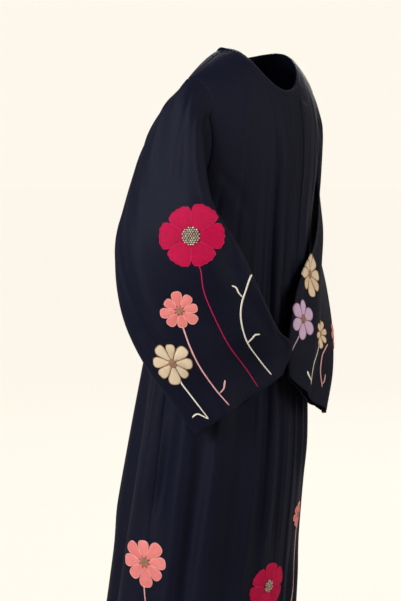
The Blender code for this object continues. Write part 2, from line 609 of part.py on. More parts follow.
BLOOMS = (
    bloom(COSMOS, "red_cosmos_right_sleeve", "right_sleeve", "crimson", 0.0, 0.0, 0.060, 4.0, 0.016),
    bloom(ROSE, "coral_rose_right_sleeve", "right_sleeve", "coral", -0.025, -0.136, 0.033, 10.0, 0.007),
    bloom(ROSE, "cream_rose_right_sleeve", "right_sleeve", "cream", -0.046, -0.235, 0.039, 0.0, 0.009),
    bloom(ROSE, "cream_daisy_left_sleeve", "left_sleeve_high", "cream", 0.0, 0.0, 0.029, 12.0, 0.007),
    bloom(COSMOS, "lilac_cosmos_left_sleeve", "left_sleeve_inner", "lilac", 0.0, 0.0, 0.035, 20.0, 0.009),
    bloom(DAISY, "small_daisy_left_sleeve", "left_sleeve", "cream", 0.044, 0.014, 0.025, 0.0, 0.006),
    bloom(ROSE, "coral_rose_left_sleeve", "left_sleeve_outer", "coral", 0.0, 0.0, 0.032, 10.0, 0.007),
    bloom(ROSE, "coral_rose_side_right", "side_right", "coral", 0.0, 0.0, 0.046, 6.0, 0.009),
    bloom(COSMOS, "red_cosmos_back_right", "back_right", "crimson", 0.0, 0.0, 0.056, 12.0, 0.015),
    bloom(COSMOS, "red_cosmos_front", "front", "crimson", 0.0, 0.0, 0.048, 20.0, 0.013),
    bloom(ROSE, "coral_rose_front_left", "front_left", "coral", 0.0, 0.0, 0.027, 6.0, 0.006),
    bloom(ROSE, "coral_rose_side_left", "side_left", "coral", 0.0, 0.0, 0.046, 6.0, 0.009),
    bloom(COSMOS, "red_cosmos_back_left", "back_left", "crimson", 0.0, 0.0, 0.056, 0.0, 0.015),
)

Stem = namedtuple("Stem", "name spot colour width path")
SKIRT_STEM = ((0.004, -0.125), (-0.006, -0.200), (0.008, -0.290), (0.003, -0.335))
STEMS = (
    Stem("stem_red_right_sleeve", "right_sleeve", "crimson", STEM_WIDTH,
         ((0.017, -0.066), (0.020, -0.100), (0.034, -0.144), (0.059, -0.207), (0.099, -0.284))),
    Stem("stem_coral_right_sleeve", "right_sleeve", "rose", STEM_WIDTH,
         ((-0.018, -0.173), (-0.009, -0.203), (0.006, -0.242), (0.028, -0.282), (0.052, -0.316))),
    Stem("twig_coral_right_sleeve", "right_sleeve", "rose", STEM_WIDTH,
         ((0.046, -0.268), (0.045, -0.276), (0.043, -0.285))),
    Stem("stem_cream_right_sleeve", "right_sleeve", "ivory", STEM_WIDTH,
         ((-0.033, -0.277), (-0.015, -0.304), (0.011, -0.343))),
    Stem("curl_cream_right_sleeve", "right_sleeve", "ivory", STEM_WIDTH,
         ((-0.019, -0.341), (-0.009, -0.334), (0.001, -0.338))),
    Stem("sprig_right_sleeve", "right_sleeve", "ivory", STEM_WIDTH,
         ((0.102, -0.070), (0.094, -0.092), (0.084, -0.122), (0.081, -0.155), (0.088, -0.197),
          (0.104, -0.234), (0.122, -0.262))),
    Stem("twig_upper_right_sleeve", "right_sleeve", "ivory", STEM_WIDTH,
         ((0.069, -0.090), (0.076, -0.094), (0.080, -0.104))),
    Stem("twig_lower_right_sleeve", "right_sleeve", "ivory", STEM_WIDTH,
         ((0.110, -0.182), (0.102, -0.183), (0.097, -0.189))),
    Stem("stem_lilac_left_sleeve", "left_sleeve_inner", "lilac", STEM_WIDTH,
         ((-0.016, -0.039), (-0.022, -0.052), (-0.026, -0.065))),
    Stem("stem_daisy_left_sleeve", "left_sleeve", "ivory", STEM_WIDTH,
         ((0.021, -0.011), (0.001, -0.023), (-0.017, -0.038), (-0.025, -0.058), (-0.026, -0.080))),
    Stem("twig_daisy_left_sleeve", "left_sleeve", "ivory", STEM_WIDTH,
         ((-0.038, -0.053), (-0.037, -0.060), (-0.033, -0.067))),
    Stem("stem_coral_left_sleeve", "left_sleeve", "rose", STEM_WIDTH,
         ((0.068, -0.009), (0.050, -0.018), (0.034, -0.030), (0.021, -0.058), (0.019, -0.090))),
    Stem("twig_coral_left_sleeve", "left_sleeve", "rose", STEM_WIDTH,
         ((0.034, -0.066), (0.031, -0.072), (0.027, -0.079))),
    Stem("stem_side_right", "side_right", "rose", STEM_WIDTH, ((0.0, -0.054),) + SKIRT_STEM),
    Stem("stem_back_right", "back_right", "crimson", STEM_WIDTH, ((0.0, -0.064),) + SKIRT_STEM),
    Stem("stem_front", "front", "crimson", STEM_WIDTH, ((0.0, -0.056),) + SKIRT_STEM),
    Stem("stem_front_left", "front_left", "rose", STEM_WIDTH, ((0.0, -0.035),) + SKIRT_STEM),
    Stem("stem_side_left", "side_left", "rose", STEM_WIDTH, ((0.0, -0.054),) + SKIRT_STEM),
    Stem("stem_back_left", "back_left", "crimson", STEM_WIDTH, ((0.0, -0.064),) + SKIRT_STEM),
)

Finish = namedtuple("Finish", "red green blue roughness")
FINISHES = {
    "black_crepe": Finish(0.010, 0.010, 0.016, 0.75),
    "crimson": Finish(0.560, 0.012, 0.075, 0.60),
    "coral": Finish(0.820, 0.230, 0.200, 0.60),
    "rose": Finish(0.800, 0.380, 0.350, 0.60),
    "cream": Finish(0.740, 0.580, 0.330, 0.60),
    "ivory": Finish(0.780, 0.660, 0.460, 0.60),
    "lilac": Finish(0.580, 0.350, 0.560, 0.60),
    "tan_beads": Finish(0.420, 0.270, 0.130, 0.40),
}


# ---------------------------------------------------------------- building
def clear_scene():
    for obj in list(bpy.data.objects):
        bpy.data.objects.remove(obj, do_unlink=True)


def make_materials():
    materials = {}
    for name, finish in FINISHES.items():
        material = bpy.data.materials.new(name)
        material.use_nodes = True
        shader = material.node_tree.nodes["Principled BSDF"]
        colour = (finish.red, finish.green, finish.blue, 1.0)
        shader.inputs["Base Color"].default_value = colour
        shader.inputs["Roughness"].default_value = finish.roughness
        shader.inputs["Metallic"].default_value = 0.0
        material.diffuse_color = colour
        materials[name] = material
    return materials


def build_cloth(material):
    """The three body panels and the two sleeves. Returns the outer face of each."""
    sheets = {}
    for name, grid, shift in (
        ("front_right", front_grid(-1), -SEAM_GAP / 2),
        ("front_left", front_grid(1), -SEAM_GAP / 2),
        ("back", back_grid(), SEAM_GAP / 2),
    ):
        points = body_point(*grid)
        points[..., 1] += shift
        sheets[name] = (points, body_normal(*grid), False)
    sheets["sleeve_right"] = (*sleeve_grid(-1), True)
    sheets["sleeve_left"] = (*sleeve_grid(1), True)
    faces = {}
    for name, (points, normals, round_tube) in sheets.items():
        solid = shell(points + normals * WALL / 2, points - normals * WALL / 2, round_tube)
        add_solid(name, *solid, material)
        faces[name] = Face(points + normals * WALL / 2, normals, round_tube)
        faces[name].solids = [solid_tree(solid)]
    return faces


def solid_tree(solid):
    vertices, triangles = solid
    return BVHTree.FromPolygons(vertices.tolist(), triangles.tolist())


def settled(make, under):
    """The solid that make(lift) gives at the least lift which clears all that lies under it."""
    lift = 0.0
    while any(solid_tree(make(lift)).overlap(tree) for tree in under):
        lift += LIFT_STEP
    if lift > 0.0:
        lift += LIFT_MARGIN
    return make(lift), lift


def build_binding(faces, material):
    """A narrow strip sewn round the neckline, on the panels' outer faces."""
    right, back, left = faces["front_right"], faces["back"], faces["front_left"]
    edge = [(left, NECK_STEPS, 0)]
    edge += [(right, row, FRONT_STEPS) for row in range(NECK_STEPS - 1, 0, -1)]
    edge += [(back, 0, BACK_SHOULDER_STEPS + step) for step in range(BACK_NECK_STEPS, -1, -1)]
    edge += [(left, row, 0) for row in range(1, NECK_STEPS)]
    paths = []
    for face, row, column in edge:
        place = face.points[row, column]
        outwards = place - np.array([0.0, NECK_MIDDLE, place[2]])
        paths.append((face, face.reach((row, column), outwards, [(0.0005, 0.0), (BINDING_WIDTH, 0.0)])))

    def make(lift):
        low = np.stack([face.lift(*path, LIE_GAP + lift) for face, path in paths], axis=1)
        high = np.stack([face.lift(*path, LIE_GAP + lift + BINDING_WALL) for face, path in paths], axis=1)
        return shell(high[:, ::-1], low[:, ::-1], True)

    solid, _ = settled(make, right.solids + back.solids + left.solids)
    add_solid("neck_binding", *solid, material)


def build_front_band(face, material):
    """The closing band of the left front, from below the neckline to the hem."""
    rows = np.arange(NECK_STEPS, face.rows)
    places = np.linspace(*BAND_PLACE, BAND_COLUMNS)
    columns = np.array([np.interp(places, face.points[row, :, 0], np.arange(face.columns)) for row in rows])
    grid = np.repeat(rows[:, None].astype(float), len(places), axis=1)

    def make(lift):
        low = face.lift(grid, columns, LIE_GAP + lift)
        return shell(face.lift(grid, columns, LIE_GAP + lift + BAND_WALL), low)

    solid, _ = settled(make, face.solids)
    add_solid("front_band", *solid, material)


def skirt_face(faces):
    """The three panels below the underarm as one round face, which motifs may cross seams on."""
    order = (faces["front_right"], faces["front_left"], faces["back"])
    points = np.concatenate([face.points[ARMHOLE_STEPS:, :-1] for face in order], axis=1)
    normals = np.concatenate([face.normals[ARMHOLE_STEPS:, :-1] for face in order], axis=1)
    face = Face(points, normals, True)
    face.solids = [tree for panel in order for tree in panel.solids]
    return face


def spot_start(spot, face):
    """Row, column and right-hand direction of a spot."""
    if spot.face != "skirt":
        row = np.interp(spot.along, RING_PLACES, np.arange(len(RING_PLACES)))
        turn = spot.around if spot.face == "sleeve_right" else -spot.around
        return (row, turn % 360.0 / 360.0 * SLEEVE_COLUMNS), SLEEVE_RIGHT_HAND
    row = (spot.along - UNDERARM_DROP) / (LENGTH - UNDERARM_DROP) * SKIRT_STEPS
    place = body_point(spot.around, spot.along)
    away = np.linalg.norm(face.points[int(round(row))] - place, axis=-1)
    away += np.abs(face.points[int(round(row)), :, 2] - place[2])
    turn = math.radians(spot.around)
    right = (math.cos(turn), math.sin(turn), 0.0)
    near = int(np.argmin(away))
    step = (place - face.points[int(round(row)), near]) @ np.array(right)
    width = np.linalg.norm(face.points[0, near] - face.points[0, (near + 1) % face.columns])
    return (row, near + step / width), right


def build_motifs(faces, materials):
    for bloom in BLOOMS:
        face = faces[SPOTS[bloom.spot].face]
        start, right = spot_start(SPOTS[bloom.spot], face)
        middle = np.array([bloom.right, bloom.up])
        outline = petal_outline(bloom)
        around = np.linspace(0.0, 360.0, CENTRE_RAYS + 1)[:-1]
        disc_outline = (around, np.full(CENTRE_RAYS, bloom.centre))

        def petals(lift):
            low = LIE_GAP + lift
            return disc_solid(face, start, right, middle, *outline, low, low + APPLIQUE)

        def centre(lift):
            low = LIE_GAP + petal_lift + APPLIQUE + SEAM_GAP + lift
            heights = (low, low + CENTRE_RIM, CENTRE_CROWN)
            return disc_solid(face, start, right, middle, *disc_outline, *heights)

        petal_solid, petal_lift = settled(petals, face.solids)
        add_solid("bloom_" + bloom.name, *petal_solid, materials[bloom.colour])
        centre_solid, _ = settled(centre, [solid_tree(petal_solid)])
        add_solid("centre_" + bloom.name, *centre_solid, materials["tan_beads"])
    for stem in STEMS:
        face = faces[SPOTS[stem.spot].face]
        start, right = spot_start(SPOTS[stem.spot], face)

        def strip(lift):
            low = LIE_GAP + lift
            return stem_solid(face, start, right, stem.path, stem.width, low, low + APPLIQUE)

        strip_solid, _ = settled(strip, face.solids)
        add_solid(stem.name, *strip_solid, materials[stem.colour])


def main():
    clear_scene()
    materials = make_materials()
    faces = build_cloth(materials["black_crepe"])
    faces["skirt"] = skirt_face(faces)
    build_binding(faces, materials["black_crepe"])
    build_front_band(faces["front_left"], materials["black_crepe"])
    build_motifs(faces, materials)


main()
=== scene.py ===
"""Looks of the worn black abaya: cloth with its creases, seams and hems, and embroidered flowers.

Metres, +Z up. The wearer faces -Y and the wearer's left is +X. The cloth's main form repeats the
sections, rings and folds of the part's source. Finer creases, seams, hems and stitching are added
to it here, and each flower is built petal by petal on the cloth that carries it.
"""

import itertools
import math
from collections import namedtuple

import bpy
import numpy as np
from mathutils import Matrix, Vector


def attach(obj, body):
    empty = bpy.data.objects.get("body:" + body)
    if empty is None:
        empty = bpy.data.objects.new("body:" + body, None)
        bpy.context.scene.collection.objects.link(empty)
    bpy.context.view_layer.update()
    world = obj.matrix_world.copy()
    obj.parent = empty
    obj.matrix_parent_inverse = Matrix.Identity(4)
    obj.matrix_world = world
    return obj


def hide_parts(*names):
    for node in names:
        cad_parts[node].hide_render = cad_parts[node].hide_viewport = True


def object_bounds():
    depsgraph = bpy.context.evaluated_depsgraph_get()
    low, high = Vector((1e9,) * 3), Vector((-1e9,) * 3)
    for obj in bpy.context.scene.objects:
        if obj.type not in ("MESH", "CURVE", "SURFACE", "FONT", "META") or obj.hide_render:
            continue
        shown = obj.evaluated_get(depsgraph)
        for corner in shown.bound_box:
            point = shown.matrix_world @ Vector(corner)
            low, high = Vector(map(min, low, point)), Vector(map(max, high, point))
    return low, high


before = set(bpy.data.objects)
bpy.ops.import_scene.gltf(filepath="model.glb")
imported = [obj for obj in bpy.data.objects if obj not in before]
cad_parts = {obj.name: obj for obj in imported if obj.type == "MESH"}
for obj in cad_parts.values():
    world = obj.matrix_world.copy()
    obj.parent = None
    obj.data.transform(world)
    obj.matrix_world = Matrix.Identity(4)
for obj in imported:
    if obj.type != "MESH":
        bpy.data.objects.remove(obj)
cad_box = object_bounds()

# ---------------------------------------------------------------- driving sizes of the part
WALL = 0.0016
SEAM_GAP = 0.0003
LENGTH = 1.42
NECK_HALF_WIDTH = 0.080
NECK_FRONT_DROP = 0.085
NECK_BACK_DROP = 0.018
SHOULDER_HALF_WIDTH = 0.190
SHOULDER_SLOPE = 0.62
NECK_EASE = 0.020  # over how far the shoulder line bends down at the neck
NECK_MIDDLE = -0.020  # how far the neck's middle lies in front of the shoulder seams
UNDERARM_DROP = 0.235
SHOULDER_FADE = (0.05, 0.55)  # drops between which the shoulders' slope dies out
ARMHOLE_SCOOP_FRONT = 26.0  # degrees
ARMHOLE_SCOOP_BACK = 27.0  # degrees
BAND_PLACE = (0.040, 0.066)  # inner and outer edge, to the wearer's left of the centre front
UNDERARM_TURN = 100.0  # degrees that a sleeve turns out of the panel under the arm
START_PULL = 0.55  # how long a sleeve keeps the way in which it leaves the armhole
FLAT_SHARE = 0.85  # of the folds' height, taken off where a stiff flower lies on the skirt
FLAT_ANGLE = 22.0  # degrees
FLAT_DROP = 0.115
STEM_WIDTH = 0.0042
ARMHOLE_STEPS = 14
NECK_STEPS = 8
SKIRT_STEPS = 9
BACK_NECK_STEPS = 8
BACK_SHOULDER_STEPS = 9

# ---------------------------------------------------------------- sizes of the finish
CLOTH = 0.0011  # what shows of the wall: one layer of crepe
HEM_DEPTH = 0.022  # of the hem, turned up inside
CUFF_DEPTH = 0.020
HEM_STEP = 0.0008  # over twice this the turned-up cloth begins
SEAM_DIP = 0.0008  # how far the cloth sinks at a seam, and over what width
SEAM_REACH = 0.0026
STITCH_LENGTH = 0.0028
STITCH_PITCH = 0.0042
STITCH_WIDTH = 0.0006
STITCH_HEIGHT = 0.0004
CORD_TIP = 0.45  # share of a cord's radius at its two ends
BAND_THICK = 0.0014
BAND_LIFT = 0.0002
BAND_ROUND = 0.0026  # over how far the band's edges are rounded
BAND_EDGE_SHARE = 0.45  # of its thickness, at its very edge
BAND_DIP = 0.00035  # how far its stitches draw it in, and over what width
BAND_DIP_REACH = 0.0009
BAND_SUNK = 0.0003  # how far its stitches lie under its top
NECK_POINTS = 33  # along each third of the neckline
BINDING_WIDTH = 0.009
BINDING_TOP = 0.0009  # height over the cloth, and depth under it
BINDING_UNDER = 0.0007
BINDING_ROLL = 0.0004  # how much its roll adds to half its width
BINDING_PAST = 0.0009  # how far it reaches past the neck's edge
BINDING_STITCH = 0.0022  # from the binding's outer edge
SEWN_LIFT = 0.0001  # between the cloth and the underside of what is sewn on it
PETAL_EDGE = 0.0007  # how far a petal's edge and its middle stand off the cloth
PETAL_CROWN = 0.0010
PETAL_FLUTE = 0.00016  # height of the fine flutes along a petal
PETAL_ROWS = 13
PETAL_COLUMNS = 17
SLIT_WIDTH = 0.0013
OUTLINE_RADIUS = 0.00075
OUTLINE_START = 0.22  # share of a petal's length where the cord round it starts
OUTLINE_SIDE_STEPS = 8
OUTLINE_TIP_STEPS = 23
TONE_OUTWARD = 0.28  # how much the tone of a petal grows towards its tip, and how much its puffed middle is lightened as a painted highlight
# painted highlight: how much lighter the raised middle of a petal is
PAINTED_CROWN_HIGHLIGHT = 0.10
TONE_PETALS = 0.22  # how much petals, and their cords, differ
TONE_CORDS = 0.20
# painted shade: the tone of a petal's rounded edge, darker than that of its top
PAINTED_RIM_SHADE = 0.3
CENTRE_LIFT = 0.0009  # of the pillow's underside, its rim's thickness and its rise in the middle
CENTRE_RIM = 0.0007
CENTRE_RISE = 0.0011
CENTRE_STEPS = 13
BEADED_CENTRE = 0.012  # a centre above this radius carries beads, a smaller one knots
BEAD_ROWS = 0.866  # of the beads' pitch, between their rows
STEM_CROWN = 0.0011
STEM_BASE = 0.0003
STEM_SHARE = 0.66  # of the width of its backing, that the thread of a stem covers
STEM_TAPER = 0.30  # share of its width that a stem loses towards its end
STEM_REACH = 0.90  # share of a flower's radius where its stem starts, under a petal
STEM_NEAR = 0.012  # a stem that starts this close to a flower's edge belongs to it
STEM_STEP = 0.0035
STEM_SWELL = 0.04  # unevenness of its width, in waves of this length
STEM_WAVE = 0.0065
STEM_ENDS = (0.0, 0.0006, 0.0016, 0.0030)  # closer rows at its two ends, which are rounded off
STEM_ROUND = 0.0032
STEM_COLUMNS = 9
REACH_STEP = 0.0030  # of the search for a place in the plane of a start
REACH_EXTRA = 8  # more steps, which settle on it
WALK_STEP = 0.0010  # of the search for a place along the cloth
NORMAL_TURN = 0.5  # degrees and share over which a sleeve's normal is measured
NORMAL_STEP = 0.004
BODY_TURN = 0.05  # degrees and metres over which the body's normal is measured
BODY_STEP = 0.002
CREASE_FLAT_SHARE = 0.8  # of the creases' height, taken off under a stiff flower
BODY_SWELL = 0.0012  # height of the slow unevenness of the body and of the sleeves
SLEEVE_SWELL = 0.0010
SEAM_PUCKER = 0.0005  # where a sleeve is eased into its armhole
PUCKER_START = 0.015  # shares of the sleeve's length over which it rises and dies out
PUCKER_REACH = 0.14
SHARP_EDGE = 14.0  # degrees from a sleeve's pressed edges over which its creases die out
BODY_METRES_PER_DEGREE = 0.0035  # these three turn a place on the cloth into metres, roughly
SLEEVE_METRES_PER_DEGREE = 0.0015
SLEEVE_METRES_ALONG = 0.62
BAND_STITCH = 0.0026  # from each edge of the band, the hem and the cuffs
HEM_STITCH = 0.020
CUFF_STITCH = 0.018

# ---------------------------------------------------------------- the camera's view
AZIMUTH = -50.0
ELEVATION = 6.0
DISTANCE = 2.6
TARGET_ASIDE = -0.101
TARGET_HEIGHT = -0.497
LENS = 78.0
SENSOR = 36.0

# ---------------------------------------------------------------- body sections
# Half the body's width at a drop below the neck, its depth in front of its middle line and behind it,
# and how far that line lies behind the shoulder seams.
Girth = namedtuple("Girth", "drop half_width front back behind")
GIRTHS = (
    Girth(0.000, 0.1950, 0.000, 0.000, 0.000),
    Girth(0.016, 0.1940, 0.044, 0.046, 0.000),
    Girth(0.064, 0.1910, 0.078, 0.080, 0.002),
    Girth(0.130, 0.1870, 0.100, 0.098, 0.006),
    Girth(0.210, 0.1820, 0.112, 0.108, 0.013),
    Girth(0.320, 0.1770, 0.117, 0.116, 0.026),
    Girth(0.460, 0.1740, 0.127, 0.132, 0.043),
    Girth(0.620, 0.1820, 0.143, 0.152, 0.060),
    Girth(0.800, 0.1950, 0.158, 0.170, 0.078),
    Girth(1.060, 0.2080, 0.166, 0.188, 0.110),
    Girth(1.420, 0.2260, 0.178, 0.205, 0.146),
)

# Soft folds of the body: where the fold lies at the hem, as an angle from the centre front towards
# the wearer's left, how wide it is, how far it stands out (a trough is negative), the drop where it
# starts and where it is full, and how many degrees it has swung aside where it starts.
Fold = namedtuple("Fold", "angle width height starts full swing")
FOLDS = (
    Fold(-4.0, 3.0, -0.0050, 0.08, 0.45, 1.0),
    Fold(-10.5, 3.2, 0.0060, 0.05, 0.40, 3.0),
    Fold(-18.0, 3.4, -0.0060, 0.05, 0.45, 5.0),
    Fold(-26.0, 4.2, 0.0055, 0.08, 0.55, 7.0),
    Fold(-36.0, 5.0, -0.0060, 0.30, 0.85, 5.0),
    Fold(-48.0, 6.5, 0.0080, 0.30, 0.90, 3.0),
    Fold(-61.0, 6.5, -0.0090, 0.35, 1.00, 5.0),
    Fold(-74.0, 7.0, 0.0120, 0.40, 1.00, 8.0),
    Fold(-89.0, 7.5, -0.0150, 0.45, 0.95, 14.0),
    Fold(-104.0, 7.5, 0.0140, 0.40, 1.00, 9.0),
    Fold(-119.0, 7.0, -0.0130, 0.30, 1.00, 6.0),
    Fold(-134.0, 7.0, 0.0140, 0.30, 1.00, 5.0),
    Fold(-149.0, 7.0, -0.0120, 0.25, 0.95, 4.0),
    Fold(-164.0, 7.0, 0.0130, 0.25, 0.95, 2.0),
    Fold(-179.0, 7.0, -0.0120, 0.20, 0.95, 0.0),
    Fold(166.0, 7.0, 0.0140, 0.25, 1.00, -2.0),
    Fold(151.0, 7.0, -0.0130, 0.25, 1.00, -4.0),
    Fold(136.0, 7.0, 0.0130, 0.30, 1.00, -5.0),
    Fold(121.0, 7.0, -0.0130, 0.30, 1.00, -6.0),
    Fold(105.0, 7.5, 0.0140, 0.40, 1.00, -8.0),
    Fold(89.0, 7.5, -0.0140, 0.45, 1.00, -9.0),
    Fold(74.0, 7.0, 0.0110, 0.40, 1.00, -7.0),
    Fold(60.0, 6.5, -0.0090, 0.35, 0.95, -5.0),
    Fold(47.0, 6.0, 0.0075, 0.30, 0.90, -4.0),
    Fold(35.0, 5.0, -0.0060, 0.30, 0.80, -3.0),
    Fold(25.0, 4.2, 0.0055, 0.12, 0.60, -3.0),
    Fold(17.5, 3.2, -0.0055, 0.08, 0.50, -1.0),
)

# ---------------------------------------------------------------- sleeve sections
# Each ring runs through four points, in millimetres: over the arm, the front, under the arm and the
# back. The sleeve starts at the armhole, so the tables start one ring beyond it.
Ring = namedtuple("Ring", "along over front under back")
RIGHT_RINGS = (
    Ring(0.20, (-234, 6, -138), (-204, -50, -205), (-196, 14, -296), (-218, 78, -205)),
    Ring(0.34, (-260, 12, -250), (-218, -78, -290), (-203, 18, -330), (-250, 98, -290)),
    Ring(0.50, (-282, -6, -374), (-190, -122, -380), (-210, 6, -405), (-278, 104, -405)),
    Ring(0.64, (-264, -38, -470), (-152, -139, -460), (-196, -14, -492), (-278, 86, -515)),
    Ring(0.77, (-216, -74, -560), (-94, -140, -538), (-166, -36, -582), (-256, 48, -608)),
    Ring(0.88, (-166, -90, -618), (-46, -136, -570), (-136, -60, -636), (-224, 6, -680)),
    Ring(1.00, (-152, -94, -674), (-64, -126, -626), (-126, -66, -688), (-195, -20, -736)),
)
LEFT_RINGS = (
    Ring(0.20, (228, 18, -138), (195, -28, -205), (194, 22, -296), (212, 84, -205)),
    Ring(0.34, (236, 32, -255), (188, -30, -290), (194, 26, -332), (222, 104, -290)),
    Ring(0.50, (232, 4, -366), (108, -77, -384), (186, 0, -410), (240, 100, -408)),
    Ring(0.64, (184, -48, -460), (18, -106, -452), (150, -38, -488), (238, 56, -514)),
    Ring(0.77, (124, -100, -548), (-21, -117, -512), (108, -70, -566), (214, 4, -602)),
    Ring(0.88, (80, -128, -622), (-36, -119, -568), (68, -96, -630), (168, -46, -668)),
    Ring(1.00, (40, -140, -698), (-40, -122, -632), (38, -104, -684), (126, -88, -728)),
)

# Soft folds of the sleeves: where a fold starts round the sleeve, as an angle from the line over
# the arm through the front, how wide it is, how far it stands out, where along the sleeve it starts
# and ends, and how far it turns between the two.
SleeveFold = namedtuple("SleeveFold", "angle width height starts ends turn")
RIGHT_FOLDS = (
    SleeveFold(300.0, 14.0, -0.0060, 0.25, 1.00, 22.0),
    SleeveFold(330.0, 15.0, 0.0060, 0.18, 1.00, 14.0),
    SleeveFold(8.0, 16.0, -0.0045, 0.40, 1.00, 8.0),
    SleeveFold(35.0, 12.0, 0.0035, 0.10, 0.75, 6.0),
    SleeveFold(54.0, 11.0, -0.0035, 0.30, 0.90, 4.0),
    SleeveFold(215.0, 16.0, 0.0050, 0.25, 1.00, -10.0),
    SleeveFold(150.0, 16.0, -0.0040, 0.45, 1.00, 10.0),
)
LEFT_FOLDS = (
    SleeveFold(300.0, 14.0, -0.0060, 0.25, 1.00, 18.0),
    SleeveFold(332.0, 15.0, 0.0060, 0.18, 1.00, 14.0),
    SleeveFold(4.0, 15.0, -0.0060, 0.40, 1.00, 14.0),
    SleeveFold(30.0, 12.0, 0.0045, 0.10, 1.00, 4.0),
    SleeveFold(52.0, 11.0, -0.0040, 0.30, 0.90, 3.0),
    SleeveFold(215.0, 16.0, 0.0050, 0.25, 1.00, -10.0),
    SleeveFold(150.0, 16.0, -0.0040, 0.45, 1.00, 10.0),
)

# ---------------------------------------------------------------- fine creases
# Soft ridges, and troughs where the height is negative, each between two places on its cloth. Round
# the body a place is an angle from the centre front and a drop, round a sleeve the angle from the line
# over the arm and the share of the way to the cuff. The bow bends the crease aside.
Crease = namedtuple("Crease", "around along around_end along_end bow width height")


def creases(*rows):
    """Creases from rows of their values, of which the last three are in millimetres."""
    return [Crease(*row[:4], *(size / 1000.0 for size in row[4:])) for row in rows]


BODY_CREASES = creases(
    # front, wearer's right
    (-1.5, 0.12, -1.0, 1.42, 0.0, 3.5, -2.2),
    (-7.0, 0.06, -6.2, 1.42, 2.0, 5.0, 3.1),
    (-12.5, 0.05, -14.0, 1.42, -2.0, 6.0, -3.1),
    (-15.5, 0.07, -19.0, 1.10, 2.0, 5.0, 2.6),
    (-21.0, 0.08, -30.5, 1.42, 3.0, 7.0, -2.8),
    (-27.0, 0.16, -36.0, 0.95, 4.0, 8.0, 1.8),
    (-34.0, 0.10, -50.0, 0.62, -6.0, 9.0, -2.2),
    (-45.0, 0.30, -56.0, 1.20, 6.0, 10.0, 2.6),
    (-55.0, 0.22, -72.0, 0.60, -8.0, 10.0, -2.4),
    (-66.0, 0.62, -66.0, 1.42, 4.0, 9.0, 2.8),
    (-78.0, 0.30, -93.0, 0.80, 8.0, 11.0, -2.6),
    # front, wearer's left
    (4.0, 0.10, 4.5, 1.42, 0.0, 4.5, 1.8),
    (9.0, 0.22, 9.5, 1.42, 1.0, 4.0, -1.2),
    (14.0, 0.05, 12.5, 1.42, 2.0, 5.5, 2.8),
    (21.0, 0.08, 20.0, 1.42, -2.0, 6.0, -2.6),
    (30.0, 0.10, 40.0, 0.70, 5.0, 8.0, -2.2),
    (40.0, 0.45, 42.0, 1.42, -4.0, 9.0, 2.4),
    (52.0, 0.22, 66.0, 0.66, 8.0, 10.0, -2.4),
    (67.0, 0.60, 68.0, 1.42, 4.0, 9.0, 2.6),
    (80.0, 0.30, 95.0, 0.85, -8.0, 11.0, -2.4),
    # back
    (102.0, 0.34, 98.0, 1.42, 6.0, 10.0, 2.6),
    (112.0, 0.20, 113.0, 1.10, -6.0, 10.0, -2.4),
    (128.0, 0.12, 129.0, 1.42, 5.0, 9.0, 2.4),
    (141.0, 0.10, 143.0, 0.80, -6.0, 11.0, -2.6),
    (158.0, 0.08, 159.0, 1.42, 4.0, 8.0, 2.2),
    (172.0, 0.06, 173.0, 1.42, -4.0, 7.0, -1.8),
    (186.0, 0.06, 188.0, 1.20, 4.0, 8.0, 2.0),
    (199.0, 0.08, 203.0, 1.42, -4.0, 9.0, -2.2),
    (214.0, 0.12, 218.0, 0.90, 6.0, 10.0, 2.6),
    (228.0, 0.12, 233.0, 1.42, -5.0, 9.0, -2.4),
    (245.0, 0.20, 249.0, 1.42, 6.0, 10.0, 2.6),
    (257.0, 0.34, 262.0, 1.10, -6.0, 11.0, -2.4),
    # drag lines from the underarms and the shoulders
    (-62.0, 0.20, -30.0, 0.34, 12.0, 10.0, -1.8),
    (-70.0, 0.25, -38.0, 0.46, 14.0, 11.0, 2.0),
    (62.0, 0.20, 32.0, 0.36, -12.0, 10.0, -1.8),
    (70.0, 0.25, 42.0, 0.48, -14.0, 11.0, 2.0),
    (118.0, 0.20, 146.0, 0.38, 12.0, 11.0, -2.0),
    (-118.0, 0.20, -148.0, 0.40, -12.0, 11.0, -2.0),
    (-30.0, 0.05, -48.0, 0.20, 6.0, 9.0, 1.6),
    (30.0, 0.05, 47.0, 0.20, -6.0, 9.0, 1.6),
)
RIGHT_CREASES = creases(
    (-70.0, 0.18, -20.0, 0.52, 10.0, 9.0, -2.6),
    (-96.0, 0.34, -48.0, 0.70, 10.0, 10.0, 3.0),
    (-30.0, 0.06, 2.0, 0.46, -8.0, 9.0, 2.4),
    (22.0, 0.05, 20.0, 0.40, 8.0, 8.0, -2.2),
    (52.0, 0.10, 64.0, 0.44, -6.0, 8.0, 2.2),
    (76.0, 0.42, 46.0, 0.60, 12.0, 9.0, -3.0),
    (80.0, 0.60, 58.0, 0.82, 10.0, 8.0, 2.6),
    (74.0, 0.74, 60.0, 0.98, -6.0, 8.0, -2.2),
    (-40.0, 0.62, -24.0, 1.00, 8.0, 10.0, 2.4),
    (-66.0, 0.70, -58.0, 1.00, -6.0, 9.0, -2.4),
    (8.0, 0.80, 6.0, 1.00, 4.0, 9.0, -1.6),
    (150.0, 0.20, 190.0, 0.50, 10.0, 10.0, -2.8),
    (200.0, 0.26, 232.0, 0.66, -10.0, 10.0, 2.8),
    (128.0, 0.44, 150.0, 0.80, 8.0, 9.0, -2.6),
    (172.0, 0.60, 176.0, 1.00, 6.0, 9.0, 2.4),
    (226.0, 0.66, 222.0, 1.00, -6.0, 9.0, -2.4),
)
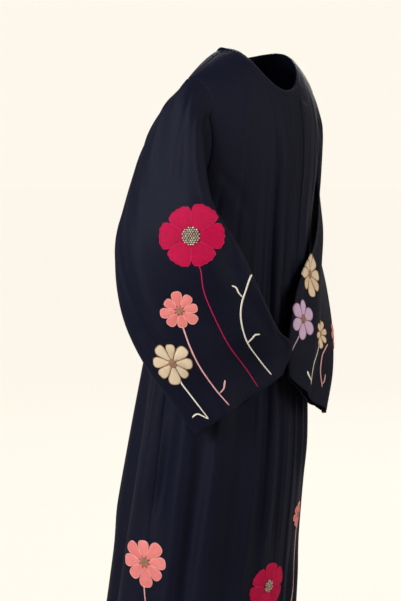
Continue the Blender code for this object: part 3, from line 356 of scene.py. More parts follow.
LEFT_CREASES = creases(
    (-64.0, 0.16, -18.0, 0.50, -10.0, 9.0, -2.6),
    (-92.0, 0.30, -44.0, 0.72, -10.0, 10.0, 3.0),
    (-26.0, 0.06, 4.0, 0.44, 8.0, 9.0, 2.4),
    (24.0, 0.05, 18.0, 0.42, -8.0, 8.0, -2.2),
    (50.0, 0.10, 60.0, 0.40, 6.0, 8.0, 2.0),
    (18.0, 0.50, 10.0, 1.00, 6.0, 8.0, -2.6),
    (40.0, 0.74, 38.0, 1.00, -4.0, 7.0, 1.8),
    (-14.0, 0.56, -8.0, 1.00, -6.0, 9.0, 2.6),
    (-42.0, 0.60, -34.0, 1.00, 8.0, 10.0, -2.6),
    (-70.0, 0.72, -62.0, 1.00, -6.0, 9.0, 2.2),
    (150.0, 0.20, 188.0, 0.52, -10.0, 10.0, -2.8),
    (200.0, 0.26, 230.0, 0.64, 10.0, 10.0, 2.8),
    (126.0, 0.46, 150.0, 0.82, -8.0, 9.0, -2.6),
    (174.0, 0.62, 172.0, 1.00, -6.0, 9.0, 2.4),
    (228.0, 0.66, 220.0, 1.00, 6.0, 9.0, -2.4),
)

# ---------------------------------------------------------------- flowers and stems
# A spot is the place on a cloth from which flowers and stems are laid out to the right and up. On the
# skirt it is an angle from the centre front and a drop, on a sleeve the angle from the line over the
# arm and the share of the way to the cuff.
Spot = namedtuple("Spot", "face around along")
SPOTS = {
    "right_sleeve": Spot("sleeve_right", 30.0, 0.478),
    "left_sleeve": Spot("sleeve_left", 30.0, 0.845),
    "left_sleeve_high": Spot("sleeve_left", 50.0, 0.650),
    "left_sleeve_inner": Spot("sleeve_left", 54.0, 0.790),
    "left_sleeve_outer": Spot("sleeve_left", 338.0, 0.800),
    "side_right": Spot("skirt", -90.0, 1.005),
    "back_right": Spot("skirt", -150.0, 1.070),
    "front": Spot("skirt", -3.4, 1.068),
    "front_left": Spot("skirt", 28.0, 0.945),
    "side_left": Spot("skirt", 92.0, 1.005),
    "back_left": Spot("skirt", 150.0, 1.070),
}
SLEEVE_RIGHT_HAND = (0.643, -0.766, 0.0)  # towards the wearer's front left

# The kinds of flower: their petals and how much these differ, how square and how deeply slit the
# petals are (the slit as a share of the radius), and the scallops of the tips and their depth.
Kind = namedtuple("Kind", "petals uneven fullness slit scallops scallop_depth")
COSMOS = Kind(6, 0.05, 6.0, 0.80, 5, 0.050)
POINTED = Kind(6, 0.05, 2.1, 0.70, 1, 0.0)
ROSE = Kind(8, 0.08, 3.6, 0.75, 0, 0.0)
DAISY = Kind(8, 0.04, 3.0, 0.60, 0, 0.0)

# Where each flower lies on its spot, its radius, the turn of its first petal in degrees, the radius of
# its centre, and how much broader and longer than round it is cut.
Bloom = namedtuple("Bloom", "kind name spot colour right up radius turn centre oval", defaults=((1.0, 1.0),))
BLOOMS = (
    Bloom(COSMOS, "red_cosmos_right_sleeve", "right_sleeve", "crimson", 0.0, 0.0, 0.0585, 0.0, 0.017),
    Bloom(ROSE, "coral_rose_right_sleeve", "right_sleeve", "coral", -0.025, -0.136, 0.033, 10.0, 0.007),
    Bloom(ROSE, "cream_rose_right_sleeve", "right_sleeve", "cream", -0.046, -0.235, 0.039, 0.0, 0.009),
    Bloom(ROSE, "cream_daisy_left_sleeve",
          "left_sleeve_high", "cream", -0.006, 0.008, 0.041, 12.0, 0.009, (0.85, 1.12)),
    Bloom(POINTED, "lilac_cosmos_left_sleeve",
          "left_sleeve_inner", "lilac", -0.005, 0.0, 0.039, 28.0, 0.009, (0.76, 1.04)),
    Bloom(DAISY, "small_daisy_left_sleeve",
          "left_sleeve", "cream", 0.036, 0.014, 0.027, 0.0, 0.006, (1.40, 1.04)),
    Bloom(ROSE, "coral_rose_left_sleeve", "left_sleeve_outer", "coral", 0.0, 0.0, 0.032, 10.0, 0.007),
    Bloom(ROSE, "coral_rose_side_right", "side_right", "coral", 0.0, 0.0, 0.046, 6.0, 0.009, (1.15, 1.0)),
    Bloom(COSMOS, "red_cosmos_back_right", "back_right", "crimson", 0.0, 0.0, 0.056, 12.0, 0.015),
    Bloom(COSMOS, "red_cosmos_front", "front", "crimson", 0.0, 0.0, 0.048, 20.0, 0.013),
    Bloom(ROSE, "coral_rose_front_left", "front_left", "coral", 0.0, 0.0, 0.027, 6.0, 0.006),
    Bloom(ROSE, "coral_rose_side_left", "side_left", "coral", 0.0, 0.0, 0.046, 6.0, 0.009),
    Bloom(COSMOS, "red_cosmos_back_left", "back_left", "crimson", 0.0, 0.0, 0.056, 0.0, 0.015),
)

# Each stem or twig runs through places on its spot, in millimetres to the right and up. A twig ends
# in the stem that it joins.
Stem = namedtuple("Stem", "name spot colour path width", defaults=(STEM_WIDTH,))
SKIRT_STEM = ((4, -125), (-6, -200), (8, -290), (3, -335))
STEMS = (
    Stem("stem_red_right_sleeve", "right_sleeve", "crimson",
         ((17, -66), (20, -100), (34, -144), (59, -207), (99, -284)), STEM_WIDTH * 0.75),
    Stem("stem_coral_right_sleeve", "right_sleeve", "rose",
         ((-18, -173), (-9, -203), (6, -242), (28, -282), (52, -316))),
    Stem("twig_coral_right_sleeve", "right_sleeve", "rose",
         ((46, -268), (45, -276), (43, -285), (37, -292))),
    Stem("stem_cream_right_sleeve", "right_sleeve", "ivory", ((-33, -277), (-15, -304), (11, -343))),
    Stem("curl_cream_right_sleeve", "right_sleeve", "ivory",
         ((-19, -341), (-9, -334), (1, -338), (11, -344))),
    Stem("sprig_right_sleeve", "right_sleeve", "ivory",
         ((102, -70), (94, -92), (84, -122), (81, -155), (88, -197), (104, -234), (122, -262))),
    Stem("twig_upper_right_sleeve", "right_sleeve", "ivory",
         ((69, -90), (76, -94), (80, -104), (87, -113))),
    Stem("twig_lower_right_sleeve", "right_sleeve", "ivory",
         ((110, -182), (102, -183), (97, -189), (88, -198))),
    Stem("stem_lilac_left_sleeve", "left_sleeve_inner", "lilac", ((-16, -39), (-22, -52), (-26, -65))),
    Stem("stem_daisy_left_sleeve", "left_sleeve", "ivory",
         ((21, -11), (1, -23), (-17, -38), (-25, -58), (-26, -80))),
    Stem("twig_daisy_left_sleeve", "left_sleeve", "ivory",
         ((-38, -53), (-37, -60), (-33, -67), (-27, -73))),
    Stem("stem_coral_left_sleeve", "left_sleeve", "rose",
         ((68, -9), (50, -18), (34, -30), (21, -58), (19, -90))),
    Stem("twig_coral_left_sleeve", "left_sleeve", "rose", ((34, -66), (31, -72), (27, -79), (20, -84))),
    Stem("stem_side_right", "side_right", "rose", ((0, -54),) + SKIRT_STEM),
    Stem("stem_back_right", "back_right", "crimson", ((0, -64),) + SKIRT_STEM),
    Stem("stem_front", "front", "crimson", ((0, -56),) + SKIRT_STEM),
    Stem("stem_front_left", "front_left", "rose", ((0, -35),) + SKIRT_STEM),
    Stem("stem_side_left", "side_left", "rose", ((0, -54),) + SKIRT_STEM),
    Stem("stem_back_left", "back_left", "crimson", ((0, -64),) + SKIRT_STEM),
)

# ---------------------------------------------------------------- curves and lines
def smoothstep(low, high, value):
    """A soft step from 0 at low to 1 at high, where low may be the larger."""
    share = np.clip((value - low) / (high - low), 0.0, 1.0)
    return share * share * (3.0 - 2.0 * share)


def turned(angle):
    """The same direction between -180 and 180 degrees."""
    return (angle + 180.0) % 360.0 - 180.0


def hermite(t, step, low, low_slope, high, high_slope):
    """A cubic from one value to the next, a step apart, with a slope at each of them."""
    return (
        (2 * t**3 - 3 * t**2 + 1) * low
        + (t**3 - 2 * t**2 + t) * step * low_slope
        + (3 * t**2 - 2 * t**3) * high
        + (t**3 - t**2) * step * high_slope
    )


def curve_through(knots, values, at):
    """Hermite curve through values at rising knots, with tangents from each knot's two neighbours."""
    knots = np.asarray(knots, float)
    values = np.asarray(values, float)
    at = np.asarray(at, float)
    steps = np.diff(knots)
    shape = (-1,) + (1,) * (values.ndim - 1)
    slopes = np.diff(values, axis=0) / steps.reshape(shape)
    tangents = np.empty_like(values)
    tangents[0] = slopes[0]
    tangents[-1] = slopes[-1]
    before = steps[1:].reshape(shape) / (steps[:-1] + steps[1:]).reshape(shape)
    tangents[1:-1] = slopes[:-1] * before + slopes[1:] * (1.0 - before)
    index = np.clip(np.searchsorted(knots, at, side="right") - 1, 0, len(steps) - 1)
    step = steps[index]
    t = (at - knots[index]) / step
    wide = at.shape + (1,) * (values.ndim - 1)
    t = t.reshape(wide)
    step = step.reshape(wide)
    return hermite(t, step, values[index], tangents[index], values[index + 1], tangents[index + 1])


def turns(count):
    """Even steps of a full turn, in radians."""
    return np.linspace(0.0, 2.0 * math.pi, count + 1)[:-1]


def edge_to_edge(count):
    """Places from -1 to 1, closer together towards both."""
    return np.sin(np.linspace(-1.0, 1.0, count) * math.pi / 2)


def along_line(points):
    """Metres from the start of a line to each of its points."""
    return np.concatenate([[0.0], np.cumsum(np.linalg.norm(np.diff(points, axis=0), axis=-1))])


def unit(vectors):
    """The vectors, each one metre long."""
    return vectors / np.maximum(np.linalg.norm(vectors, axis=-1, keepdims=True), 1e-12)


def read_along(run, values, places):
    """The values of a line's points at distances along it, where run has the distance of each point."""
    return np.stack([np.interp(places, run, column) for column in values.T], axis=-1)


# ---------------------------------------------------------------- form of the body and the sleeves
GIRTH_KNOTS = np.sqrt([g.drop for g in GIRTHS])
GIRTH_VALUES = np.array([[g.half_width, g.front, g.back, g.behind] for g in GIRTHS])


def half_width_at(drop):
    """Half the body's width at a drop below the neck."""
    return curve_through(GIRTH_KNOTS, GIRTH_VALUES[:, 0], np.sqrt(drop))


def spot_nearness(angle, drop):
    """How near these places are to each flower on the skirt, from 0 to 1."""
    return [
        np.exp(-((turned(angle - spot.around) / FLAT_ANGLE) ** 4) - ((drop - spot.along) / FLAT_DROP) ** 4)
        for spot in SPOTS.values() if spot.face == "skirt"
    ]


def fold_height(angle, drop):
    """How far the folds push the cloth out at these angles (degrees) and drops."""
    height = np.zeros(np.broadcast(angle, drop).shape)
    for fold in FOLDS:
        grown = smoothstep(fold.starts, fold.full, drop)
        middle = fold.angle + fold.swing * (1.0 - drop / LENGTH)
        height += fold.height * grown * np.exp(-((turned(angle - middle) / fold.width) ** 2))
    for near in spot_nearness(angle, drop):
        height *= 1.0 - FLAT_SHARE * near
    return height


def body_point(angle, drop):
    """Middle surface of the body. The angle is in degrees from the centre front towards the left."""
    angle, drop = np.broadcast_arrays(np.asarray(angle, float), np.asarray(drop, float))
    half_width, front, back, behind = np.moveaxis(
        curve_through(GIRTH_KNOTS, GIRTH_VALUES, np.sqrt(drop)), -1, 0
    )
    turn = np.radians(angle)
    sine, cosine = np.sin(turn), np.cos(turn)
    depth = np.where(cosine >= 0, front, back)
    out = fold_height(angle, drop)
    girth = np.maximum(np.hypot(half_width * cosine, depth * sine), 1e-6)
    x = half_width * sine + out * depth * sine / girth
    y = behind - depth * cosine - out * half_width * cosine / girth
    past_neck = np.minimum(np.abs(x), SHOULDER_HALF_WIDTH) - NECK_HALF_WIDTH
    fall = SHOULDER_SLOPE * (past_neck + np.hypot(past_neck, NECK_EASE)) / 2
    z = -drop - fall * (1.0 - smoothstep(*SHOULDER_FADE, drop))
    return np.stack([x, y, z], axis=-1)


def body_normal(angle, drop):
    """Outward normal of the body. On the shoulder line it points straight up across the seam."""
    angle, drop = np.broadcast_arrays(np.asarray(angle, float), np.asarray(drop, float))
    low = np.maximum(drop - BODY_STEP, 0.0)
    around = body_point(angle + BODY_TURN, drop) - body_point(angle - BODY_TURN, drop)
    down = body_point(angle, drop + BODY_STEP) - body_point(angle, low)
    normal = unit(np.cross(down, around))
    normal[..., 1] = np.where(drop < 1e-6, 0.0, normal[..., 1])
    return unit(normal)


def armhole_angle(drop, scoop):
    """Angle from the centre front, or from the centre back, of the armhole edge at a drop."""
    half_width = half_width_at(drop)
    tip = np.degrees(np.arcsin(np.minimum(SHOULDER_HALF_WIDTH / half_width, 1.0)))
    share = np.clip(drop / UNDERARM_DROP, 0.0, 1.0)
    return tip + (90.0 - tip) * share**2 - scoop * 2.0 * np.sqrt(share * (1.0 - share))


def armhole_edge(side, phi):
    """Point and normal on the panels' armhole edge: phi is 0 at the shoulder and 90 in front."""
    turn = np.radians(np.asarray(phi, float))
    drop = UNDERARM_DROP * (1.0 - np.cos(turn)) / 2
    front = armhole_angle(drop, ARMHOLE_SCOOP_FRONT)
    back = 180.0 - armhole_angle(drop, ARMHOLE_SCOOP_BACK)
    sine = np.sin(turn)
    angle = side * np.where(sine >= -1e-9, front, back)
    point = body_point(angle, drop)
    point[..., 1] -= np.sign(np.round(sine, 9)) * SEAM_GAP / 2
    return point, body_normal(angle, drop)


def sleeve_start(side, phi):
    """Where a sleeve leaves the armhole: a point, the way that it runs, and its outward normal."""
    phi = np.asarray(phi, float)
    point, normal = armhole_edge(side, phi)
    along_edge = armhole_edge(side, phi + 1.0)[0] - armhole_edge(side, phi - 1.0)[0]
    middle = (armhole_edge(side, 90.0)[0] + armhole_edge(side, 270.0)[0]) / 2
    away = unit(np.cross(along_edge, normal))
    away = away * np.sign(np.sum(away * (middle - point), axis=-1, keepdims=True))
    lift = np.radians(UNDERARM_TURN) * ((1.0 - np.cos(np.radians(phi))) / 2) ** 1.5
    sine, cosine = np.sin(lift)[..., None], np.cos(lift)[..., None]
    run = away * cosine + normal * sine
    return point + run * (SEAM_GAP * 1.35 + WALL / 2 * sine), run, normal * cosine - away * sine


def ring_point(ring, phi):
    """Place on the closed curve through a ring's four points, at angles from the one over the arm."""
    over, front, under, back = (np.array(point) / 1000.0 for point in ring[1:])
    turn = np.radians(phi)[..., None]
    return (
        (over + front + under + back) / 4
        + (over - under) / 2 * np.cos(turn)
        + (front - back) / 2 * np.sin(turn)
        + (over + under - front - back) / 4 * np.cos(2 * turn)
    )


def smooth_sleeve(side, phi, along):
    """Middle surface of a sleeve without folds. Along runs from 0 at the armhole to 1 at the cuff."""
    phi, along = np.broadcast_arrays(np.asarray(phi, float), np.asarray(along, float))
    rings = RIGHT_RINGS if side < 0 else LEFT_RINGS
    start, run, _ = sleeve_start(side, phi[:1] if phi.ndim > 1 else phi)  # the same in every row
    points = [start] + [ring_point(ring, phi) for ring in rings]
    knots = [0.0] + [ring.along for ring in rings]
    slopes = [(points[i + 1] - points[i]) / (knots[i + 1] - knots[i]) for i in range(len(rings))]
    tangents = [run * np.linalg.norm(slopes[0], axis=-1, keepdims=True) * START_PULL]
    for i in range(1, len(rings)):
        weight = (knots[i + 1] - knots[i]) / (knots[i + 1] - knots[i - 1])
        tangents.append(slopes[i - 1] * weight + slopes[i] * (1.0 - weight))
    tangents.append(slopes[-1])
    place = np.zeros(phi.shape + (3,))
    for i in range(len(rings)):
        step = knots[i + 1] - knots[i]
        t = ((along - knots[i]) / step)[..., None]
        curve = hermite(t, step, points[i], tangents[i], points[i + 1], tangents[i + 1])
        place = np.where((t >= 0.0) | (i == 0), curve, place)
    return place


def outward(surface, side, phi, along):
    """Outward unit normal of a sleeve's surface."""
    low = np.maximum(along - NORMAL_STEP, 0.0)
    high = np.minimum(along + NORMAL_STEP, 1.0)
    down = surface(side, phi, high) - surface(side, phi, low)
    around = surface(side, phi + NORMAL_TURN, along) - surface(side, phi - NORMAL_TURN, along)
    return unit(np.cross(down, around)) * -side


def sleeve_point(side, phi, along):
    """Middle surface of a sleeve with its folds."""
    phi, along = np.broadcast_arrays(np.asarray(phi, float), np.asarray(along, float))
    height = np.zeros(phi.shape)
    for fold in RIGHT_FOLDS if side < 0 else LEFT_FOLDS:
        share = (along - fold.starts) / (fold.ends - fold.starts)
        away = turned(phi - fold.angle - fold.turn * share)
        grown = smoothstep(0.0, 0.35, share)
        if fold.ends < 1.0:
            grown = grown * (1.0 - smoothstep(0.65, 1.0, share))
        height += fold.height * grown * np.exp(-((away / fold.width) ** 2))
    return smooth_sleeve(side, phi, along) + outward(smooth_sleeve, side, phi, along) * height[..., None]


# ---------------------------------------------------------------- creases on a surface
def crease_height(creases, around, along, metres_per_degree, metres_along):
    """How far the fine creases push the cloth out at these places."""
    height = np.zeros(np.broadcast(around, along).shape)
    for crease in creases:
        span = np.array([
            (crease.around_end - crease.around) * metres_per_degree,
            (crease.along_end - crease.along) * metres_along,
        ])
        long = np.hypot(*span)
        ahead = span / long
        x = turned(around - crease.around) * metres_per_degree
        y = (along - crease.along) * metres_along
        run = (x * ahead[0] + y * ahead[1]) / long
        share = np.clip(run, 0.0, 1.0)
        aside = x * ahead[1] - y * ahead[0] - crease.bow * 4.0 * share * (1.0 - share)
        beyond = (run - share) * long
        fade = smoothstep(0.0, 0.25, share)  # it grows in its first quarter, and dies out in its last
        if crease.along_end < 1.0 or metres_along == 1.0 and crease.along_end < LENGTH:
            fade = fade * smoothstep(1.0, 0.75, share)
        width = crease.width * (0.7 + 0.6 * share)
        height += crease.height * fade * np.exp(-(aside**2 + beyond**2) / width**2)
    return height


def unevenness(around, along, waves, seed):
    """A slow, small and irregular swell, which repeats after a full turn."""
    draw = np.random.default_rng(seed)
    height = np.zeros(np.broadcast(around, along).shape)
    for _ in range(waves):
        turns = draw.integers(2, 14)
        rate = draw.uniform(2.0, 11.0)
        phases = draw.uniform(0.0, 2.0 * math.pi, 2)
        height += np.sin(np.radians(around) * turns + phases[0] + 0.8 * np.sin(along * rate + phases[1]))
    return height / waves


def body_cloth(angle, drop):
    """Outer surface of the body with its fine creases."""
    height = crease_height(BODY_CREASES, angle, drop, BODY_METRES_PER_DEGREE, 1.0)
    height += BODY_SWELL * unevenness(angle, drop, 9, 5) * smoothstep(0.02, 0.30, drop)
    height *= 1.0 - CREASE_FLAT_SHARE * np.max(spot_nearness(angle, drop), axis=0)
    height *= smoothstep(0.0, 0.06, drop)
    return body_point(angle, drop) + body_normal(angle, drop) * (WALL / 2 + height)[..., None]


def sleeve_cloth(side, phi, along):
    """Outer surface of a sleeve with its fine creases, and the way that it faces."""
    creases = RIGHT_CREASES if side < 0 else LEFT_CREASES
    height = crease_height(creases, phi, along, SLEEVE_METRES_PER_DEGREE, SLEEVE_METRES_ALONG)
    height += SLEEVE_SWELL * unevenness(phi, along * 2.0, 7, 11 + side)
    height *= smoothstep(0.0, 0.10, along)
    pucker = SEAM_PUCKER * np.cos(np.radians(phi) * 30.0 + np.sin(np.radians(phi) * 7.0))
    height += pucker * smoothstep(PUCKER_REACH, 0.0, along) * smoothstep(0.0, PUCKER_START, along)
    from_edge = (phi % 180.0 - 90.0) / SHARP_EDGE  # the sharp front and back edges of the sleeve
    height *= 1.0 - 0.75 * np.exp(-(from_edge**2))
    blend = smoothstep(0.0, 0.02, along)[..., None]
    start = sleeve_start(side, phi)[2]
    normal = unit(start * (1.0 - blend) + outward(sleeve_point, side, phi, along) * blend)
    return sleeve_point(side, phi, along) + normal * (WALL / 2 + height)[..., None], normal


# ---------------------------------------------------------------- the cut of the panels
# A panel's rows run down it and its columns across it. Both may be fractions of the steps in which
# the part's source counts them.
def outer_drop(row):
    """Drop of a row at the armhole and the side seam."""
    share = np.minimum(row / ARMHOLE_STEPS, 1.0)
    skirt = np.maximum(row - ARMHOLE_STEPS, 0.0) / SKIRT_STEPS
    return UNDERARM_DROP * (1.0 - np.cos(math.pi * share)) / 2 + (LENGTH - UNDERARM_DROP) * skirt


def front_place(side, row, share):
    """Angle and drop on a front panel, whose share runs from the opening to the armhole."""
    turn = np.minimum(row / NECK_STEPS, 1.0) * math.pi / 2
    below = np.clip((row - NECK_STEPS) / (ARMHOLE_STEPS - NECK_STEPS), 0.0, 1.0)
    skirt = np.maximum(row - ARMHOLE_STEPS, 0.0) / SKIRT_STEPS
    inner_drop = NECK_FRONT_DROP * np.sin(turn) ** 1.5 + (UNDERARM_DROP - NECK_FRONT_DROP) * below
    inner_drop = inner_drop + (LENGTH - UNDERARM_DROP) * skirt
    inner_x = SEAM_GAP / 2 + NECK_HALF_WIDTH * np.cos(turn)
    inner = np.degrees(np.arcsin(inner_x / half_width_at(inner_drop)))
    drop = outer_drop(row)
    outer = armhole_angle(drop, ARMHOLE_SCOOP_FRONT)
    return side * (inner + (outer - inner) * share**1.25), inner_drop + (drop - inner_drop) * share


def back_place(row, column):
    """Angle and drop on the back, whose column runs from the left armhole to the right one."""
    columns = 2 * BACK_SHOULDER_STEPS + BACK_NECK_STEPS
    tip = armhole_angle(0.0, ARMHOLE_SCOOP_BACK)
    turn = np.clip((column - BACK_SHOULDER_STEPS) / BACK_NECK_STEPS, 0.0, 1.0) * math.pi
    neck = np.degrees(np.arcsin(NECK_HALF_WIDTH * np.cos(turn) / half_width_at(0.0)))
    edge = np.degrees(np.arcsin(NECK_HALF_WIDTH / half_width_at(0.0)))
    left = tip + (edge - tip) * column / BACK_SHOULDER_STEPS
    right = -tip + (tip - edge) * (columns - column) / BACK_SHOULDER_STEPS
    top = np.where(column < BACK_SHOULDER_STEPS, left, neck)
    top = np.where(column > columns - BACK_SHOULDER_STEPS, right, top)
    drop = outer_drop(row)
    grown = smoothstep(0.0, 0.5, drop / UNDERARM_DROP)
    share = top / tip * (1.0 - grown) + (1.0 - 2.0 * column / columns) * grown
    inward = tip - armhole_angle(drop, ARMHOLE_SCOOP_BACK)
    scooped = np.sign(share) * np.abs(share) ** (3.0 - 2.0 * grown)
    neckline = NECK_BACK_DROP * np.sin(turn) ** 2 * np.clip(1.0 - drop / UNDERARM_DROP, 0.0, 1.0)
    return 180.0 - tip * share + inward * scooped, drop + neckline


# ---------------------------------------------------------------- meshes
def closed(grid):
    """A grid with its first column once more at its end."""
    return np.concatenate([grid, grid[:, :1]], axis=1)


OTHER_WAY = [0, 3, 2, 1]  # a cell's corners, the other way round


def cells(grid):
    """The four corners of each cell of a grid, from the first one down."""
    corners = (grid[:-1, :-1], grid[1:, :-1], grid[1:, 1:], grid[:-1, 1:])
    return np.stack(corners, axis=2).reshape((-1, 4) + grid.shape[2:])


def grid_normals(points, round_tube):
    """Outward unit normals of a grid whose rows run down and whose columns run to the left."""
    down = np.gradient(points, axis=0)
    if round_tube:
        across = np.roll(points, -1, axis=1) - np.roll(points, 1, axis=1)
    else:
        across = np.gradient(points, axis=1)
    return unit(np.cross(down, across))


def distance_along(points, axis):
    """Metres from the first point of each row (axis 1) or column (axis 0)."""
    steps = np.linalg.norm(np.diff(points, axis=axis), axis=-1)
    pad = [(1, 0), (0, 0)] if axis == 0 else [(0, 0), (1, 0)]
    return np.cumsum(np.pad(steps, pad), axis=axis)


def surface_metres(points, round_tube):
    """Metres across and down at each point of a grid, with one more column where it is round."""
    if round_tube:
        points = closed(points)
    across = distance_along(points, 1)
    across -= across.mean(axis=1, keepdims=True)
    return np.stack([across, distance_along(points, 0)], axis=-1)


def boundary_loops(rows, columns, round_tube):
    """The edges of a grid as lists of (row, column, row inside, column inside), the cloth to the right."""
    if round_tube:
        top = [(0, j, 1, j) for j in range(columns + 1)]
        low = [(rows - 1, j, rows - 2, j) for j in range(columns, -1, -1)]
        return [top, low]
    right, bottom = columns - 1, rows - 1
    loop = [(0, j, 1, j) for j in range(1, right)] + [(0, right, 1, right - 1)]
    loop += [(i, right, i, right - 1) for i in range(1, bottom)] + [(bottom, right, bottom - 1, right - 1)]
    loop += [(bottom, j, bottom - 1, j) for j in range(right - 1, 0, -1)] + [(bottom, 0, bottom - 1, 1)]
    loop += [(i, 0, i, 1) for i in range(bottom - 1, 0, -1)] + [(0, 0, 1, 1)]
    return [loop + loop[:1]]


def wall(outer, inner, round_tube=False, metres=None):
    """Vertices, quads and their UVs of a thin closed wall with a rounded rim between two grids."""
    rows, columns = outer.shape[:2]
    count = rows * columns
    if metres is None:
        metres = surface_metres(outer, round_tube)
    number = np.arange(count).reshape(rows, columns)
    quads = cells(closed(number) if round_tube else number)
    uvs = cells(metres)
    vertices = [outer.reshape(-1, 3), inner.reshape(-1, 3)]
    faces = [quads, (quads + count)[:, ::-1]]
    face_uvs = [uvs, uvs[:, ::-1]]
    size = 2 * count
    for loop in boundary_loops(rows, columns, round_tube):
        places = np.array(loop[:-1])
        edge = (places[:, 0], places[:, 1] % columns)
        inside = (places[:, 2], places[:, 3] % columns)
        half = np.linalg.norm(outer[edge] - inner[edge], axis=-1, keepdims=True) / 2
        middle = (outer[edge] + inner[edge]) / 2 + unit(outer[edge] - outer[inside]) * half
        top = number[edge]
        rim = size + np.arange(len(top))
        turn = np.roll(np.arange(len(top)), -1)
        faces.append(np.stack([top, top[turn], rim[turn], rim], -1))
        faces.append(np.stack([rim, rim[turn], top[turn] + count, top + count], -1))
        places = np.array(loop)
        uv = metres[places[:, 0], places[:, 1]]
        uv = np.stack([uv[:-1], uv[1:], uv[1:], uv[:-1]], 1)
        face_uvs += [uv, uv]
        vertices.append(middle)
        size += len(top)
    return np.vstack(vertices), np.concatenate(faces), np.concatenate(face_uvs)


def merged(parts):
    """One mesh's vertices, quads and UVs from those of several parts."""
    starts = np.cumsum([0] + [len(part[0]) for part in parts])
    vertices = np.vstack([part[0] for part in parts])
    faces = np.concatenate([part[1] + start for part, start in zip(parts, starts)])
    return vertices, faces, np.concatenate([part[2] for part in parts])


def add_to_scene(name, data, place=None, target=None):
    """An object in the scene, turned from its place towards a target where they are given."""
    obj = bpy.data.objects.new(name, data)
    bpy.context.scene.collection.objects.link(obj)
    if target is not None:
        obj.location = place
        obj.rotation_euler = (Vector(target) - Vector(place)).to_track_quat("-Z", "Y").to_euler()
    return obj


def add_piece(name, solid, materials, nodes=(), material_of=None, tone=None):
    """An object that rides on the root, replaces its nodes and takes its finish from a slot."""
    vertices, faces, uvs = solid
    mesh = bpy.data.meshes.new(name)
    mesh.from_pydata(vertices.tolist(), [], faces.tolist())
    layer = mesh.uv_layers.new(name="Metres")
    layer.data.foreach_set("uv", uvs.reshape(-1).astype(np.float32))
    for material in materials:
        mesh.materials.append(material)
    if material_of is not None:
        mesh.polygons.foreach_set("material_index", material_of.astype(np.int32))
    if tone is not None:
        colours = mesh.color_attributes.new(name="Tone", type="FLOAT_COLOR", domain="POINT")
        rgba = np.repeat(tone[:, None], 4, axis=1)
        rgba[:, 3] = 1.0
        colours.data.foreach_set("color", rgba.reshape(-1).astype(np.float32))
    mesh.update()
    mesh.shade_smooth()
    obj = add_to_scene(name, mesh)
    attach(obj, "root")
    if nodes:
        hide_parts(*nodes)
    return obj


def even_tone(solid, level):
    """The same tone for every vertex of a solid."""
    return np.full(len(solid[0]), level)


